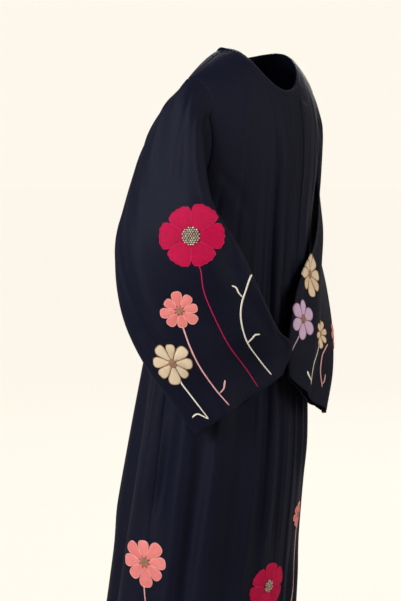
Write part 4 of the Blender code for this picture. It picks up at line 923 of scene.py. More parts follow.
class Face:
    """The outer face of a cloth: points and normals on a grid, for what is sewn on it."""

    def __init__(self, points, round_tube=False):
        """Takes a grid whose rows run down and whose columns run to the left, as seen from outside."""
        self.points, self.round_tube = points, round_tube
        self.normals = grid_normals(points, round_tube)
        self.rows, self.columns = points.shape[:2]

    def cell(self, row, column):
        """The grid cell of each place: its row, its two columns, and the place's shares in it."""
        last = self.columns if self.round_tube else self.columns - 1
        if self.round_tube:
            column = np.mod(column, self.columns)
        row = np.clip(row, 0.0, self.rows - 1 - 1e-9)
        column = np.clip(column, 0.0, last - 1e-9)
        i, j = row.astype(int), column.astype(int)
        return i, j, (j + 1) % self.columns, (row - i)[..., None], (column - j)[..., None]

    def blended(self, values, row, column):
        """Values of the grid's points at places between them."""
        i, j, k, down, across = self.cell(row, column)
        high = values[i, j] * (1.0 - across) + values[i, k] * across
        low = values[i + 1, j] * (1.0 - across) + values[i + 1, k] * across
        return high * (1.0 - down) + low * down

    def slopes(self, row, column):
        """How the surface moves with one row and with one column."""
        i, j, k, down, across = self.cell(row, column)
        a, b = self.points[i, j], self.points[i, k]
        c, d = self.points[i + 1, k], self.points[i + 1, j]
        return (d - a) * (1.0 - across) + (c - b) * across, (b - a) * (1.0 - down) + (c - d) * down

    def facing(self, row, column):
        """The way that the cloth faces."""
        return unit(self.blended(self.normals, row, column))

    def lift(self, row, column, height):
        """Points at a height over the cloth."""
        row, column = np.asarray(row, float), np.asarray(column, float)
        facing = self.facing(row, column)
        return self.blended(self.points, row, column) + facing * np.asarray(height)[..., None]

    def start_at(self, start, right, shape):
        """The row and column of a start, once for each offset, and its right-hand and upward ways."""
        row, column = (np.full(shape, float(place)) for place in start)
        normal = self.facing(row, column)
        across = unit(right - normal * (normal @ np.array(right, float))[..., None])
        return row, column, across, np.cross(normal, across)

    def reach(self, start, right, offsets):
        """Rows and columns of the points that lie at (right, up) offsets in the plane of the start."""
        row, column, across, upward = self.start_at(start, right, offsets.shape[:-1])
        origin = self.blended(self.points, row, column)
        steps = int(np.ceil(np.linalg.norm(offsets, axis=-1).max() / REACH_STEP))
        for step in range(1, steps + REACH_EXTRA):
            from_start = self.blended(self.points, row, column) - origin
            goal = offsets * min(step / steps, 1.0)
            short_right = goal[..., 0] - np.sum(from_start * across, axis=-1)
            short_up = goal[..., 1] - np.sum(from_start * upward, axis=-1)
            down, over = self.slopes(row, column)
            down_right, down_up = np.sum(down * across, axis=-1), np.sum(down * upward, axis=-1)
            over_right, over_up = np.sum(over * across, axis=-1), np.sum(over * upward, axis=-1)
            area = down_right * over_up - over_right * down_up
            area = np.where(np.abs(area) < 1e-9, 1e-9, area)
            row = row + np.clip((short_right * over_up - short_up * over_right) / area, -2.0, 2.0)
            column = column + np.clip((short_up * down_right - short_right * down_up) / area, -3.0, 3.0)
        return row, column

    def walk(self, start, right, offsets):
        """Rows and columns at (right, up) offsets measured along the cloth, round a sharp bend too."""
        row, column, across, upward = self.start_at(start, right, offsets.shape[:-1])
        ahead = across * offsets[..., :1] + upward * offsets[..., 1:]
        far = np.linalg.norm(offsets, axis=-1)
        steps = int(np.ceil(far.max() / WALK_STEP))
        for _ in range(steps):
            down, over = self.slopes(row, column)
            normal = unit(np.cross(down, over))
            ahead = unit(ahead - normal * np.sum(ahead * normal, axis=-1, keepdims=True))
            go_down = np.sum(ahead * down, axis=-1) * far / steps
            go_over = np.sum(ahead * over, axis=-1) * far / steps
            tall, wide = np.sum(down * down, axis=-1), np.sum(over * over, axis=-1)
            slant = np.sum(down * over, axis=-1)
            area = tall * wide - slant * slant
            row = row + (go_down * wide - go_over * slant) / area
            column = column + (go_over * tall - go_down * slant) / area
        return row, column


# ---------------------------------------------------------------- cloth pieces
def stations(low, high, steps, near_low=(0.0,), near_high=(0.0,)):
    """Places from low to high: at the given distances from the two ends, and even in between."""
    near_low = low + np.array(near_low)
    near_high = high - np.array(near_high)[::-1]
    even = np.linspace(near_low[-1], near_high[0], steps + 1)
    return np.concatenate([near_low[:-1], even, near_high[1:]])


# Closer rows and columns near a hem or a seam, where the cloth sinks or is turned up.
ROW_LENGTH = (LENGTH - UNDERARM_DROP) / SKIRT_STEPS
NEAR_HEM = np.array([0.0, 0.0015, 0.004, 0.008, 0.013, 0.018, 0.0205, 0.0215, 0.0225, 0.026])
PANEL_ROWS = np.concatenate([
    np.linspace(0.0, ARMHOLE_STEPS, 57)[:-1],
    stations(ARMHOLE_STEPS, ARMHOLE_STEPS + SKIRT_STEPS, 104, near_high=NEAR_HEM / ROW_LENGTH),
])
NEAR_OPENING = (0.0, 0.006, 0.013, 0.022)
NEAR_FRONT_SIDE = (0.0, 0.0022, 0.005, 0.009, 0.015)
FRONT_SHARES = stations(0.0, 1.0, 84, NEAR_OPENING, NEAR_FRONT_SIDE)
NEAR_SIDE = (0.0, 0.04, 0.09, 0.15, 0.24)
BACK_COLUMNS = stations(0.0, 2 * BACK_SHOULDER_STEPS + BACK_NECK_STEPS, 156, NEAR_SIDE, NEAR_SIDE)
NEAR_CUFF = np.array([0.0, 0.0015, 0.004, 0.008, 0.012, 0.0165, 0.0185, 0.0195, 0.0205, 0.024])
NEAR_ARMHOLE = (0.0, 0.0015, 0.004, 0.008, 0.013)
SLEEVE_ROWS = stations(0.0, 1.0, 120, NEAR_ARMHOLE, NEAR_CUFF / SLEEVE_METRES_ALONG)
SLEEVE_COLUMNS = 144


def layers(distance, depth):
    """Thickness of the cloth at a distance from its hem: twice as much where it is turned up."""
    return CLOTH * (2.0 - smoothstep(depth - HEM_STEP, depth + HEM_STEP, distance))


def panel_grids(name):
    """Outer and inner points of a body panel, with its sinking seams and its turned-up hem."""
    if name == "back":
        rows, columns = np.meshgrid(PANEL_ROWS, BACK_COLUMNS, indexing="ij")
        angle, drop = back_place(rows, columns)
        shift = SEAM_GAP / 2
    else:
        side = 1 if name == "front_left" else -1
        rows, shares = np.meshgrid(PANEL_ROWS, FRONT_SHARES[::side], indexing="ij")
        angle, drop = front_place(side, rows, shares)
        shift = -SEAM_GAP / 2
    normal = body_normal(angle, drop)
    outer = body_cloth(angle, drop)
    outer[..., 1] += shift
    across, down = distance_along(outer, 1), distance_along(outer, 0)
    nearest = np.minimum(np.minimum(across, across[:, -1:] - across), down)
    outer -= normal * (SEAM_DIP * np.exp(-((nearest / SEAM_REACH) ** 2)))[..., None]
    return outer, outer - normal * layers(LENGTH - drop, HEM_DEPTH)[..., None]


def sleeve_grids(side):
    """Outer and inner points of a sleeve. Its columns run round it so that it is seen from outside."""
    turn = np.linspace(0.0, 360.0, SLEEVE_COLUMNS + 1)[:-1] * -side
    phi, along = np.meshgrid(turn, SLEEVE_ROWS)
    outer, normal = sleeve_cloth(side, phi, along)
    down = distance_along(outer, 0)
    outer -= normal * (SEAM_DIP * np.exp(-((down / SEAM_REACH) ** 2)))[..., None]
    return outer, outer - normal * layers(down[-1:] - down, CUFF_DEPTH)[..., None]


def skirt_points():
    """The skirt as one round face, which flowers may cross its seams on."""
    turn = np.arange(0.0, 360.0, 1.0)
    angle, drop = np.meshgrid(turn, np.linspace(UNDERARM_DROP, LENGTH, 121))
    return body_cloth(angle, drop)


def spot_start(spot, face):
    """The (row, column) of a spot on its face, and the right-hand direction there."""
    if spot.face == "skirt":
        row = (spot.along - UNDERARM_DROP) / (LENGTH - UNDERARM_DROP) * (face.rows - 1)
        turn = math.radians(spot.around)
        return (row, spot.around % 360.0), (math.cos(turn), math.sin(turn), 0.0)
    turn = spot.around if spot.face == "sleeve_right" else -spot.around
    row = np.interp(spot.along, SLEEVE_ROWS, np.arange(len(SLEEVE_ROWS)))
    return (row, turn % 360.0 / 360.0 * face.columns), SLEEVE_RIGHT_HAND


# ---------------------------------------------------------------- thread, beads and cords
def rounded_block(steps):
    """Vertices and quads of a ball made from a cube whose sides are cut into steps."""
    places = {}
    quads = []

    def vertex(axis, side, i, j):
        """The number of a corner of the cube's cuts, the same for the sides that share it."""
        corner = [0, 0, 0]
        corner[axis] = side * steps
        corner[(axis + 1) % 3] = i
        corner[(axis + 2) % 3] = j
        return places.setdefault(tuple(corner), len(places))

    for axis, side, i, j in itertools.product(range(3), (0, 1), range(steps), range(steps)):
        corners = ((i, j), (i + 1, j), (i + 1, j + 1), (i, j + 1))
        quad = [vertex(axis, side, *corner) for corner in corners]
        quads.append(quad if side else quad[::-1])
    evened = np.tan((np.array(list(places)) / steps * 2.0 - 1.0) * math.pi / 4)
    return unit(evened), np.array(quads)


SMALL_BALL = rounded_block(2)
LARGE_BALL = rounded_block(3)
Bead = namedtuple("Bead", "pitch size scatter ball")
BEAD = Bead(0.0043, 0.0018, 0.06, LARGE_BALL)
KNOT = Bead(0.0019, 0.00095, 0.16, SMALL_BALL)


def balls(ball, centres, ahead, normals, sizes):
    """Copies of a ball at centres, each with its own (along, across, up) sizes."""
    shape, quads = ball
    ahead = unit(ahead - normals * np.sum(ahead * normals, axis=-1, keepdims=True))
    across = np.cross(normals, ahead)
    scaled = shape[None] * sizes[:, None]
    vertices = (
        centres[:, None]
        + scaled[..., :1] * ahead[:, None]
        + scaled[..., 1:2] * across[:, None]
        + scaled[..., 2:] * normals[:, None]
    )
    faces = quads[None] + (np.arange(len(centres)) * len(shape))[:, None, None]
    uvs = scaled[:, quads][..., :2]
    return vertices.reshape(-1, 3), faces.reshape(-1, 4), uvs.reshape(-1, 4, 2)


def stitch_line(face, row, column):
    """Stitches end to end along a line of places on a face."""
    points = face.lift(row, column, STITCH_HEIGHT * 0.4)
    run = along_line(points)
    half = STITCH_LENGTH / 2
    middles = np.arange(STITCH_PITCH / 2, run[-1] - half, STITCH_PITCH)
    ahead = unit(read_along(run, points, middles + half) - read_along(run, points, middles - half))
    sizes = np.tile([half, STITCH_WIDTH / 2, STITCH_HEIGHT / 2], (len(middles), 1))
    upward = unit(read_along(run, face.facing(row, column), middles))
    return balls(SMALL_BALL, read_along(run, points, middles), ahead, upward, sizes)


def cord(points, normals, radius):
    """A thin round cord through points, closed at both ends. U runs along it."""
    sides = 6
    ahead = unit(np.gradient(points, axis=0))
    across = unit(np.cross(normals, ahead))
    up = np.cross(ahead, across)
    turn = turns(sides)
    taper = np.ones(len(points))
    taper[[0, -1]] = CORD_TIP
    ring = across[:, None] * np.cos(turn)[:, None] + up[:, None] * np.sin(turn)[:, None]
    vertices = points[:, None] + ring * (radius * taper)[:, None, None]
    number = np.arange(len(points) * sides).reshape(len(points), sides)
    first, last = number[0], number[-1]
    ends = [first[[0, 1, 2, 3]], first[[0, 3, 4, 5]], last[[3, 2, 1, 0]], last[[5, 4, 3, 0]]]
    faces = np.concatenate([cells(closed(number)), np.array(ends)])
    metres = np.stack(np.broadcast_arrays(along_line(points)[:, None], turn * radius), -1)
    return vertices.reshape(-1, 3), faces, metres.reshape(-1, 2)[faces]


# ---------------------------------------------------------------- flowers
def petal_rim(bloom, petal, across):
    """Radius of a petal's outer edge at places across it, from -1 to 1."""
    kind = bloom.kind
    uneven = 1.0 + kind.uneven * math.sin(2.4 * petal + bloom.turn)
    edge = kind.slit + (1.0 - kind.slit) * (1.0 - np.abs(across) ** kind.fullness)
    notch = 1.0 - np.abs(np.sin(math.pi * max(kind.scallops, 1) * (across + 1.0) / 2))
    return bloom.radius * uneven * (edge - kind.scallop_depth * notch)


def petal_offsets(bloom, petal, along, across):
    """Offsets on the face, and (across, out) metres, of places along and across a petal."""
    inner = bloom.centre * 0.72
    radius = inner + (petal_rim(bloom, petal, across) - inner) * along
    half = math.pi / bloom.kind.petals
    swell = 1.0
    if bloom.kind.scallops < 2:
        swell = 0.95 + 0.05 * np.sin(math.pi * np.clip(along * 1.15, 0.0, 1.0))
    angle = across * np.maximum(half * swell - SLIT_WIDTH / 2 / radius, 0.02)
    turn = np.radians(bloom.turn + 360.0 * petal / bloom.kind.petals) + angle
    offsets = np.stack([bloom.right + radius * np.cos(turn), bloom.up + radius * np.sin(turn)], axis=-1)
    return offsets, np.stack([radius * angle, radius], axis=-1)


def placed(bloom, face, place, offsets):
    """Rows and columns of a flower's offsets, found along the cloth itself on the narrow left sleeve."""
    middle = np.array([bloom.right, bloom.up])
    offsets = middle + (offsets - middle) * bloom.oval
    find = face.walk if "left_sleeve" in bloom.spot else face.reach
    return find(*place, offsets)


def petal_pad(bloom, face, place, petal, phase):
    """One puffed petal as a wall over the cloth, and how its tone changes over it: lighter towards its tip,
    with a painted highlight on its puffed middle.
    """
    out = np.linspace(0.0, 1.0, PETAL_ROWS) ** 0.9
    along, across = np.meshgrid(out, edge_to_edge(PETAL_COLUMNS), indexing="ij")
    offsets, metres = petal_offsets(bloom, petal, along, across)
    row, column = placed(bloom, face, place, offsets)
    dome = (1.0 - np.abs(across) ** 2.6) * (1.0 - along**7.0)
    flutes = PETAL_FLUTE * np.cos(across * math.pi * 3.5 + phase) * smoothstep(0.1, 0.5, along)
    height = SEWN_LIFT + PETAL_EDGE + PETAL_CROWN * dome + flutes * dome
    pad = wall(face.lift(row, column, height), face.lift(row, column, SEWN_LIFT), metres=metres)
    # the dome term lightens the petal's raised middle: a painted highlight
    return pad, TONE_OUTWARD * (along - 0.5) + PAINTED_CROWN_HIGHLIGHT * dome


def petal_cord(bloom, face, place, petal):
    """The cord round a petal, from near the centre out, over its tip and back."""
    side = np.linspace(OUTLINE_START, 1.0, OUTLINE_SIDE_STEPS + 1)[:-1]
    tip = edge_to_edge(OUTLINE_TIP_STEPS)
    path_along = np.concatenate([side, np.ones(len(tip)), side[::-1]])
    path_across = np.concatenate([np.full(len(side), -1.0), tip, np.full(len(side), 1.0)])
    line, _ = petal_offsets(bloom, petal, path_along, path_across)
    row, column = placed(bloom, face, place, line)
    return cord(face.lift(row, column, PETAL_EDGE), face.facing(row, column), OUTLINE_RADIUS)


def make_petals(bloom, face, place):
    """A flower's petals and their cords, with a material for each face and a tone for each vertex, painted
    shade and highlight included.
    """
    draw = np.random.default_rng(int(bloom.radius * 1e4) + bloom.kind.petals)
    parts, tones, material_of = [], [], []
    for petal in range(bloom.kind.petals):
        pad, shade = petal_pad(bloom, face, place, petal, draw.uniform(0, 6))
        tone = (0.5 + TONE_PETALS * draw.uniform(-1.0, 1.0) + shade).ravel()
        # the rounded edge of the pad gets a darker tone: painted shade on its sides
        rim = np.full(len(pad[0]) - 2 * len(tone), PAINTED_RIM_SHADE)
        line = petal_cord(bloom, face, place, petal)
        parts += [pad, line]
        tones += [tone, tone, rim, even_tone(line, 0.5 + TONE_CORDS * draw.uniform(-1.0, 1.0))]
        material_of += [np.zeros(len(pad[1])), np.ones(len(line[1]))]
    return merged(parts), np.concatenate(material_of), np.concatenate(tones)


def centre_height(reach):
    """Height of the pillow of a flower's centre at a share of its radius."""
    return CENTRE_LIFT + CENTRE_RIM + CENTRE_RISE * np.sqrt(np.clip(1.0 - reach**2.5, 0.0, 1.0))


def make_pillow(bloom, face, place):
    """The low pillow that the beads are sewn on: a square grid drawn in to a disc."""
    even = np.linspace(-1.0, 1.0, CENTRE_STEPS)
    u, v = np.meshgrid(even, even, indexing="ij")
    disc = np.stack([u * np.sqrt(1.0 - v**2 / 2), v * np.sqrt(1.0 - u**2 / 2)], axis=-1)
    row, column = placed(bloom, face, place, np.array([bloom.right, bloom.up]) + disc * bloom.centre)
    top = face.lift(row, column, centre_height(np.linalg.norm(disc, axis=-1)))
    return wall(top, face.lift(row, column, CENTRE_LIFT), metres=disc * bloom.centre)


def make_centre(bloom, face, place):
    """A low pillow under a lattice of beads, or of small knots where the flower is small."""
    bead = BEAD if bloom.centre > BEADED_CENTRE else KNOT
    steps = int(bloom.centre / bead.pitch) + 2
    i, j = np.meshgrid(np.arange(-steps, steps + 1), np.arange(-steps, steps + 1))
    lattice = np.stack([(i + (j % 2) / 2) * bead.pitch, j * bead.pitch * BEAD_ROWS], axis=-1)
    lattice = lattice.reshape(-1, 2)
    lattice = lattice[np.linalg.norm(lattice, axis=-1) < bloom.centre - bead.size * 0.55]
    draw = np.random.default_rng(int(bloom.centre * 1e5) + 3)
    lattice = lattice + draw.normal(0.0, bead.size * bead.scatter, lattice.shape)
    row, column = placed(bloom, face, place, np.array([bloom.right, bloom.up]) + lattice)
    reach = np.clip(np.linalg.norm(lattice, axis=-1) / bloom.centre, 0.0, 1.0)
    centres = face.lift(row, column, centre_height(reach) + bead.size * 0.25)
    sizes = bead.size * draw.uniform(0.9, 1.08, (len(lattice), 1)) * np.array([[1.0, 1.0, 0.8]])
    ahead = np.broadcast_to(unit(np.array(place[1], float)), centres.shape)
    beads = balls(bead.ball, centres, ahead, face.facing(row, column), sizes)
    pillow = make_pillow(bloom, face, place)
    shade = np.repeat(draw.uniform(0.0, 1.0, len(lattice)), len(bead.ball[0]))
    material_of = np.concatenate([np.zeros(len(pillow[1])), np.ones(len(beads[1]))])
    return merged([pillow, beads]), material_of, np.concatenate([even_tone(pillow, 0.5), shade])


def joined_path(stem):
    """The path of a stem, carried on to the flower that it starts from."""
    path = [np.array(place) / 1000.0 for place in stem.path]
    for bloom in BLOOMS:
        away = path[0] - np.array([bloom.right, bloom.up])
        far = np.linalg.norm(away)
        if bloom.spot == stem.spot and far < bloom.radius + STEM_NEAR:
            path.insert(0, path[0] - away * (1.0 - bloom.radius * STEM_REACH / far))
    return np.array(path)


def make_stem(stem, face, place):
    """A satin-stitched line: a half-round, tapering cord of threads that lie across it."""
    path = joined_path(stem)
    line = curve_through(np.arange(len(path)), path, np.linspace(0.0, len(path) - 1, 400))
    run = along_line(line)
    places = stations(0.0, run[-1], max(int(run[-1] / STEM_STEP), 6), STEM_ENDS, STEM_ENDS)
    line = read_along(run, line, places)
    tangent = unit(np.gradient(line, axis=0))
    sideways = np.stack([-tangent[:, 1], tangent[:, 0]], axis=-1)
    share = places / run[-1]
    end = np.minimum(places, run[-1] - places)
    width = stem.width * STEM_SHARE * (1.0 - STEM_TAPER * share**2)
    width *= np.sqrt(np.clip(0.06 + end / STEM_ROUND, 0.0, 1.0))
    width *= 1.0 + STEM_SWELL * np.sin(places / STEM_WAVE)
    across = edge_to_edge(STEM_COLUMNS)
    offsets = line[:, None] + sideways[:, None] * (across[None, :] * width[:, None] / 2)[..., None]
    row, column = face.reach(*place, offsets)
    round_top = np.sqrt(np.clip(1.0 - across**2, 0.0, 1.0))
    height = STEM_BASE + STEM_CROWN * round_top * (width / stem.width)[:, None]
    metres = np.stack(np.broadcast_arrays(places[:, None], across[None, :] * stem.width / 2), axis=-1)
    return wall(face.lift(row, column, height), face.lift(row, column, SEWN_LIFT), metres=metres)


# ---------------------------------------------------------------- band, binding and stitches
NEAR_BAND_EDGE = (0.0, 0.0005, 0.0012, 0.0025)
BAND_FIRST_ROW = int(np.searchsorted(PANEL_ROWS, NECK_STEPS))


def columns_at(face, rows, places):
    """The columns in which rows of a face pass places across the body."""
    number = np.arange(face.columns)
    return np.array([np.interp(places, face.points[int(row), :, 0], number) for row in rows])


def make_band(face):
    """The closing band on the left front, thick in the middle and rounded at its two edges."""
    rows = np.arange(BAND_FIRST_ROW, face.rows, dtype=float)
    places = stations(*BAND_PLACE, 6, NEAR_BAND_EDGE, NEAR_BAND_EDGE)
    columns = columns_at(face, rows, places)
    grid = np.repeat(rows[:, None], len(places), axis=1)
    edge = np.minimum(places - BAND_PLACE[0], BAND_PLACE[1] - places)
    share = BAND_EDGE_SHARE + (1.0 - BAND_EDGE_SHARE) * smoothstep(0.0, BAND_ROUND, edge)
    height = BAND_LIFT + BAND_THICK * share
    height = height - BAND_DIP * np.exp(-(((edge - BAND_STITCH) / BAND_DIP_REACH) ** 2))
    return wall(face.lift(grid, columns, height[None]), face.lift(grid, columns, BAND_LIFT))


def band_stitches(face):
    """The two rows of stitches that hold the closing band."""
    rows = np.arange(BAND_FIRST_ROW, face.rows - 1, dtype=float)
    raised = Face(face.points + face.normals * (BAND_LIFT + BAND_THICK - BAND_SUNK))
    places = (BAND_PLACE[0] + BAND_STITCH, BAND_PLACE[1] - BAND_STITCH)
    return merged([stitch_line(raised, rows, columns_at(face, rows, place)) for place in places])


def neck_edge(faces):
    """Points of the neckline and the outward normals there, from the centre front round to the left."""
    right, back, left = faces["front_right"], faces["back"], faces["front_left"]
    front_steps = np.linspace(0.0, NECK_STEPS, NECK_POINTS)
    front_rows = np.interp(front_steps, PANEL_ROWS, np.arange(len(PANEL_ROWS)))
    back_places = np.linspace(BACK_SHOULDER_STEPS + BACK_NECK_STEPS, BACK_SHOULDER_STEPS, NECK_POINTS)
    back_columns = np.interp(back_places, BACK_COLUMNS, np.arange(len(BACK_COLUMNS)))
    parts = (
        (right, front_rows[::-1], np.full(NECK_POINTS, right.columns - 1.0)),
        (back, np.zeros(NECK_POINTS), back_columns),
        (left, front_rows, np.zeros(NECK_POINTS)),
    )
    points = [face.blended(face.points, row, column)[:-1] for face, row, column in parts]
    normals = [face.blended(face.normals, row, column)[:-1] for face, row, column in parts]
    return np.concatenate(points), unit(np.concatenate(normals))


def smoothed(values, times):
    """Values round a closed line, each time averaged with their neighbours."""
    for _ in range(times):
        values = (np.roll(values, 1, axis=0) + values * 2.0 + np.roll(values, -1, axis=0)) / 4
    return values


def binding_tube(edge, normals, outwards):
    """The rolled strip itself: a flattened tube that wraps the edge of the neckline."""
    half, low, high = BINDING_WIDTH / 2 + BINDING_ROLL, -CLOTH - BINDING_UNDER, BINDING_TOP
    turn = turns(24)
    flat = np.sign(np.cos(turn)) * np.abs(np.cos(turn)) ** 0.35  # flattened on both faces
    thick = np.sign(np.sin(turn)) * np.abs(np.sin(turn)) ** 0.8
    aside = half - BINDING_PAST + flat * half
    rise = (high + low) / 2 + thick * (high - low) / 2
    place = np.arange(len(edge))
    gather = 0.00012 * np.sin(place * 2.1) + 0.0001 * np.sin(place * 0.77)  # a little uneven along it
    points = (
        edge[:, None]
        + outwards[:, None] * aside[:, None]
        + normals[:, None] * (rise[None, :] + gather[:, None] * np.maximum(thick, 0.0))[..., None]
    )
    number = np.arange(points.shape[0] * points.shape[1]).reshape(points.shape[:2])
    quads = cells(np.pad(number, ((0, 1), (0, 1)), mode="wrap"))[:, OTHER_WAY]
    around = np.linspace(0.0, 4.6 * half, len(turn) + 1)
    run = along_line(np.concatenate([edge, edge[:1]]))
    uvs = cells(np.stack(np.meshgrid(run, around, indexing="ij"), axis=-1))[:, OTHER_WAY]
    return points.reshape(-1, 3), quads, uvs


def make_binding(faces):
    """The binding of the neckline and its row of stitches."""
    edge, normals = neck_edge(faces)
    edge, normals = smoothed(edge, 1), unit(smoothed(normals, 3))
    ahead = unit(np.roll(edge, -1, axis=0) - np.roll(edge, 1, axis=0))
    outwards = unit(np.cross(ahead, normals))
    away = edge - np.array([0.0, NECK_MIDDLE, 0.0])
    away[:, 2] = 0.0
    outwards *= np.sign(np.sum(outwards * away, axis=-1, keepdims=True))
    line = edge + outwards * (BINDING_WIDTH - BINDING_STITCH) + normals * (BINDING_TOP + SEWN_LIFT)
    strip = Face(np.stack([line, line + outwards * 0.001], axis=1))  # narrow, to carry the stitches
    strip.normals = np.stack([normals, normals], axis=1)
    stitches = stitch_line(strip, np.arange(len(line) - 1.0), np.zeros(len(line) - 1))
    return binding_tube(edge, normals, outwards), stitches


def row_stitches(face, places, place):
    """A row of stitches across a face, at a place among those of its rows."""
    row = np.interp(place, places, np.arange(face.rows))
    last = face.columns if face.round_tube else face.columns - 1
    columns = np.arange(0.0, last, 0.5)
    return stitch_line(face, np.full(len(columns), row), columns)


def hem_stitches(faces):
    """The row of stitches that holds the hem up."""
    place = PANEL_ROWS[-1] - HEM_STITCH / ROW_LENGTH
    names = ("front_right", "back", "front_left")
    return merged([row_stitches(faces[name], PANEL_ROWS, place) for name in names])


def cuff_stitches(face):
    """The row of stitches that holds a cuff up."""
    return row_stitches(face, SLEEVE_ROWS, 1.0 - CUFF_STITCH / SLEEVE_METRES_ALONG)


# ---------------------------------------------------------------- materials
def srgb(red, green, blue):
    """A colour given in the 0 to 255 steps of a screen, as light."""
    steps = np.array([red, green, blue]) / 255.0
    light = np.where(steps <= 0.04045, steps / 12.92, ((steps + 0.055) / 1.055) ** 2.4)
    return (*light.tolist(), 1.0)


def new_material(name, **sockets):
    """A material and its shader, with constants on the shader's own sockets."""
    material = bpy.data.materials.new(name)
    material.use_nodes = True
    shader = material.node_tree.nodes["Principled BSDF"]
    for socket, value in sockets.items():
        shader.inputs[socket.replace("_", " ")].default_value = value
    return material, shader


def join(shader, **sockets):
    """Links outputs of other nodes to sockets of a shader."""
    for socket, output in sockets.items():
        shader.id_data.links.new(output, shader.inputs[socket.replace("_", " ")])


def add_node(material, kind, inputs=(), **settings):
    """A node of a kind, with settings, and inputs given as (socket, value or other socket)."""
    node = material.node_tree.nodes.new(kind)
    for name, value in settings.items():
        setattr(node, name, value)
    for socket, value in inputs:
        if isinstance(value, bpy.types.NodeSocket):
            material.node_tree.links.new(value, node.inputs[socket])
        else:
            node.inputs[socket].default_value = value
    return node


def colour_mix(material, share, first, second):
    """A colour that goes from the first to the second with the share."""
    ramp = add_node(material, "ShaderNodeValToRGB", [(0, share)])
    ramp.color_ramp.elements[0].color = first
    ramp.color_ramp.elements[1].color = second
    return ramp.outputs["Color"]


def noise(material, place, scale, detail, roughness=0.55):
    """An uneven value from 0 to 1."""
    inputs = [("Vector", place), ("Scale", scale), ("Detail", detail), ("Roughness", roughness)]
    return add_node(material, "ShaderNodeTexNoise", inputs).outputs["Fac"]


WAVE_SCALE = 0.31416  # of a wave texture, for one wave in each metre
WEAVE_PITCH = 0.00055


def waves(material, place, direction, pitch, distortion):
    """Even threads across a direction of the surface, a pitch in metres apart."""
    inputs = [("Vector", place), ("Scale", WAVE_SCALE / pitch), ("Distortion", distortion), ("Detail", 2.0)]
    node = add_node(material, "ShaderNodeTexWave", inputs, bands_direction=direction)
    node.inputs["Detail Scale"].default_value = 0.6
    return node.outputs["Fac"]


def fitted(material, value, low, high):
    """A value from 0 to 1 fitted between low and high."""
    inputs = [("Value", value), ("To Min", low), ("To Max", high)]
    return add_node(material, "ShaderNodeMapRange", inputs).outputs["Result"]


def combined(material, operation, first, second):
    """The outcome of a sum or a product of two values."""
    return add_node(material, "ShaderNodeMath", [(0, first), (1, second)], operation=operation).outputs[0]


def metres_and_place(material):
    """The surface's own metres, across and down, and the place on the object."""
    metres = add_node(material, "ShaderNodeUVMap", uv_map="Metres").outputs["UV"]
    return metres, add_node(material, "ShaderNodeTexCoord").outputs["Object"]


def tone_level(material):
    """The tone that the piece gives to each of its vertices."""
    tone = add_node(material, "ShaderNodeVertexColor", layer_name="Tone").outputs["Color"]
    return add_node(material, "ShaderNodeSeparateColor", [(0, tone)]).outputs[0]


def total(material, *shares):
    """The sum of values, each fitted from 0 to 1 between its low and its high."""
    values = [fitted(material, *share) for share in shares]
    whole = values[0]
    for value in values[1:]:
        whole = combined(material, "ADD", whole, value)
    return whole


def bump(material, strength, distance, height, *below):
    """A normal raised by a height, over the normal of another bump where one is given."""
    inputs = [("Strength", strength), ("Distance", distance), ("Height", height)]
    inputs += [("Normal", normal) for normal in below]
    return add_node(material, "ShaderNodeBump", inputs).outputs["Normal"]


def crepe_material(name, dark, light, rough):
    """Matt black crepe: a fine pebbly weave, a soft bluish sheen and slight unevenness."""
    bluish = (0.62, 0.70, 1.0, 1.0)
    material, shader = new_material(
        name, Specular_IOR_Level=0.11, Sheen_Weight=0.022, Sheen_Roughness=0.42, Sheen_Tint=bluish
    )
    metres, place = metres_and_place(material)
    cloud = noise(material, place, 5.0, 3.0)
    grain = noise(material, metres, 900.0, 2.0)
    warp, weft = (waves(material, metres, way, WEAVE_PITCH, 0.9) for way in "XY")
    weave = combined(material, "MULTIPLY", warp, weft)
    shade = total(material, (cloud, 0.0, 0.62), (grain, 0.0, 0.38))
    ripple = bump(material, 0.35, 0.0012, noise(material, place, 34.0, 3.0))
    join(
        shader,
        Base_Color=colour_mix(material, shade, dark, light),
        Roughness=total(material, (cloud, rough - 0.10, rough + 0.08), (weave, -0.04, 0.06)),
        Normal=bump(material, 0.45, 0.00030, combined(material, "ADD", weave, grain), ripple),
    )
    return material


def thread_material(name, dark, light, pitch=0.00050, rough=0.58):
    """Embroidery thread: close glossy strands, whose colour drifts with the tone of the piece, which on the
    petals holds painted shade and highlight.
    """
    material, shader = new_material(name, Specular_IOR_Level=0.14, Sheen_Weight=0.03, Sheen_Roughness=0.35)
    metres, place = metres_and_place(material)
    level = tone_level(material)
    strands = waves(material, metres, "X", pitch, 1.6)
    cloud = noise(material, place, 90.0, 3.0)
    fibre = noise(material, metres, 2600.0, 2.0)
    stretched = add_node(material, "ShaderNodeMapping", [("Vector", metres), ("Scale", (1.0, 0.10, 1.0))])
    streaks = noise(material, stretched.outputs["Vector"], 900.0, 3.0, 0.7)
    # the tone level carries the petals' painted highlight and shade into the colour
    drift = total(
        material, (level, 0.0, 0.42), (cloud, 0.0, 0.22), (streaks, -0.22, 0.48), (strands, -0.06, 0.20)
    )
    rises = total(material, (fibre, 0.0, 0.35), (streaks, 0.0, 0.9))
    join(
        shader,
        Base_Color=colour_mix(material, drift, dark, light),
        Roughness=fitted(material, fibre, rough - 0.08, rough + 0.10),
        Normal=bump(material, 0.55, 0.00022, combined(material, "ADD", strands, rises)),
    )
    return material


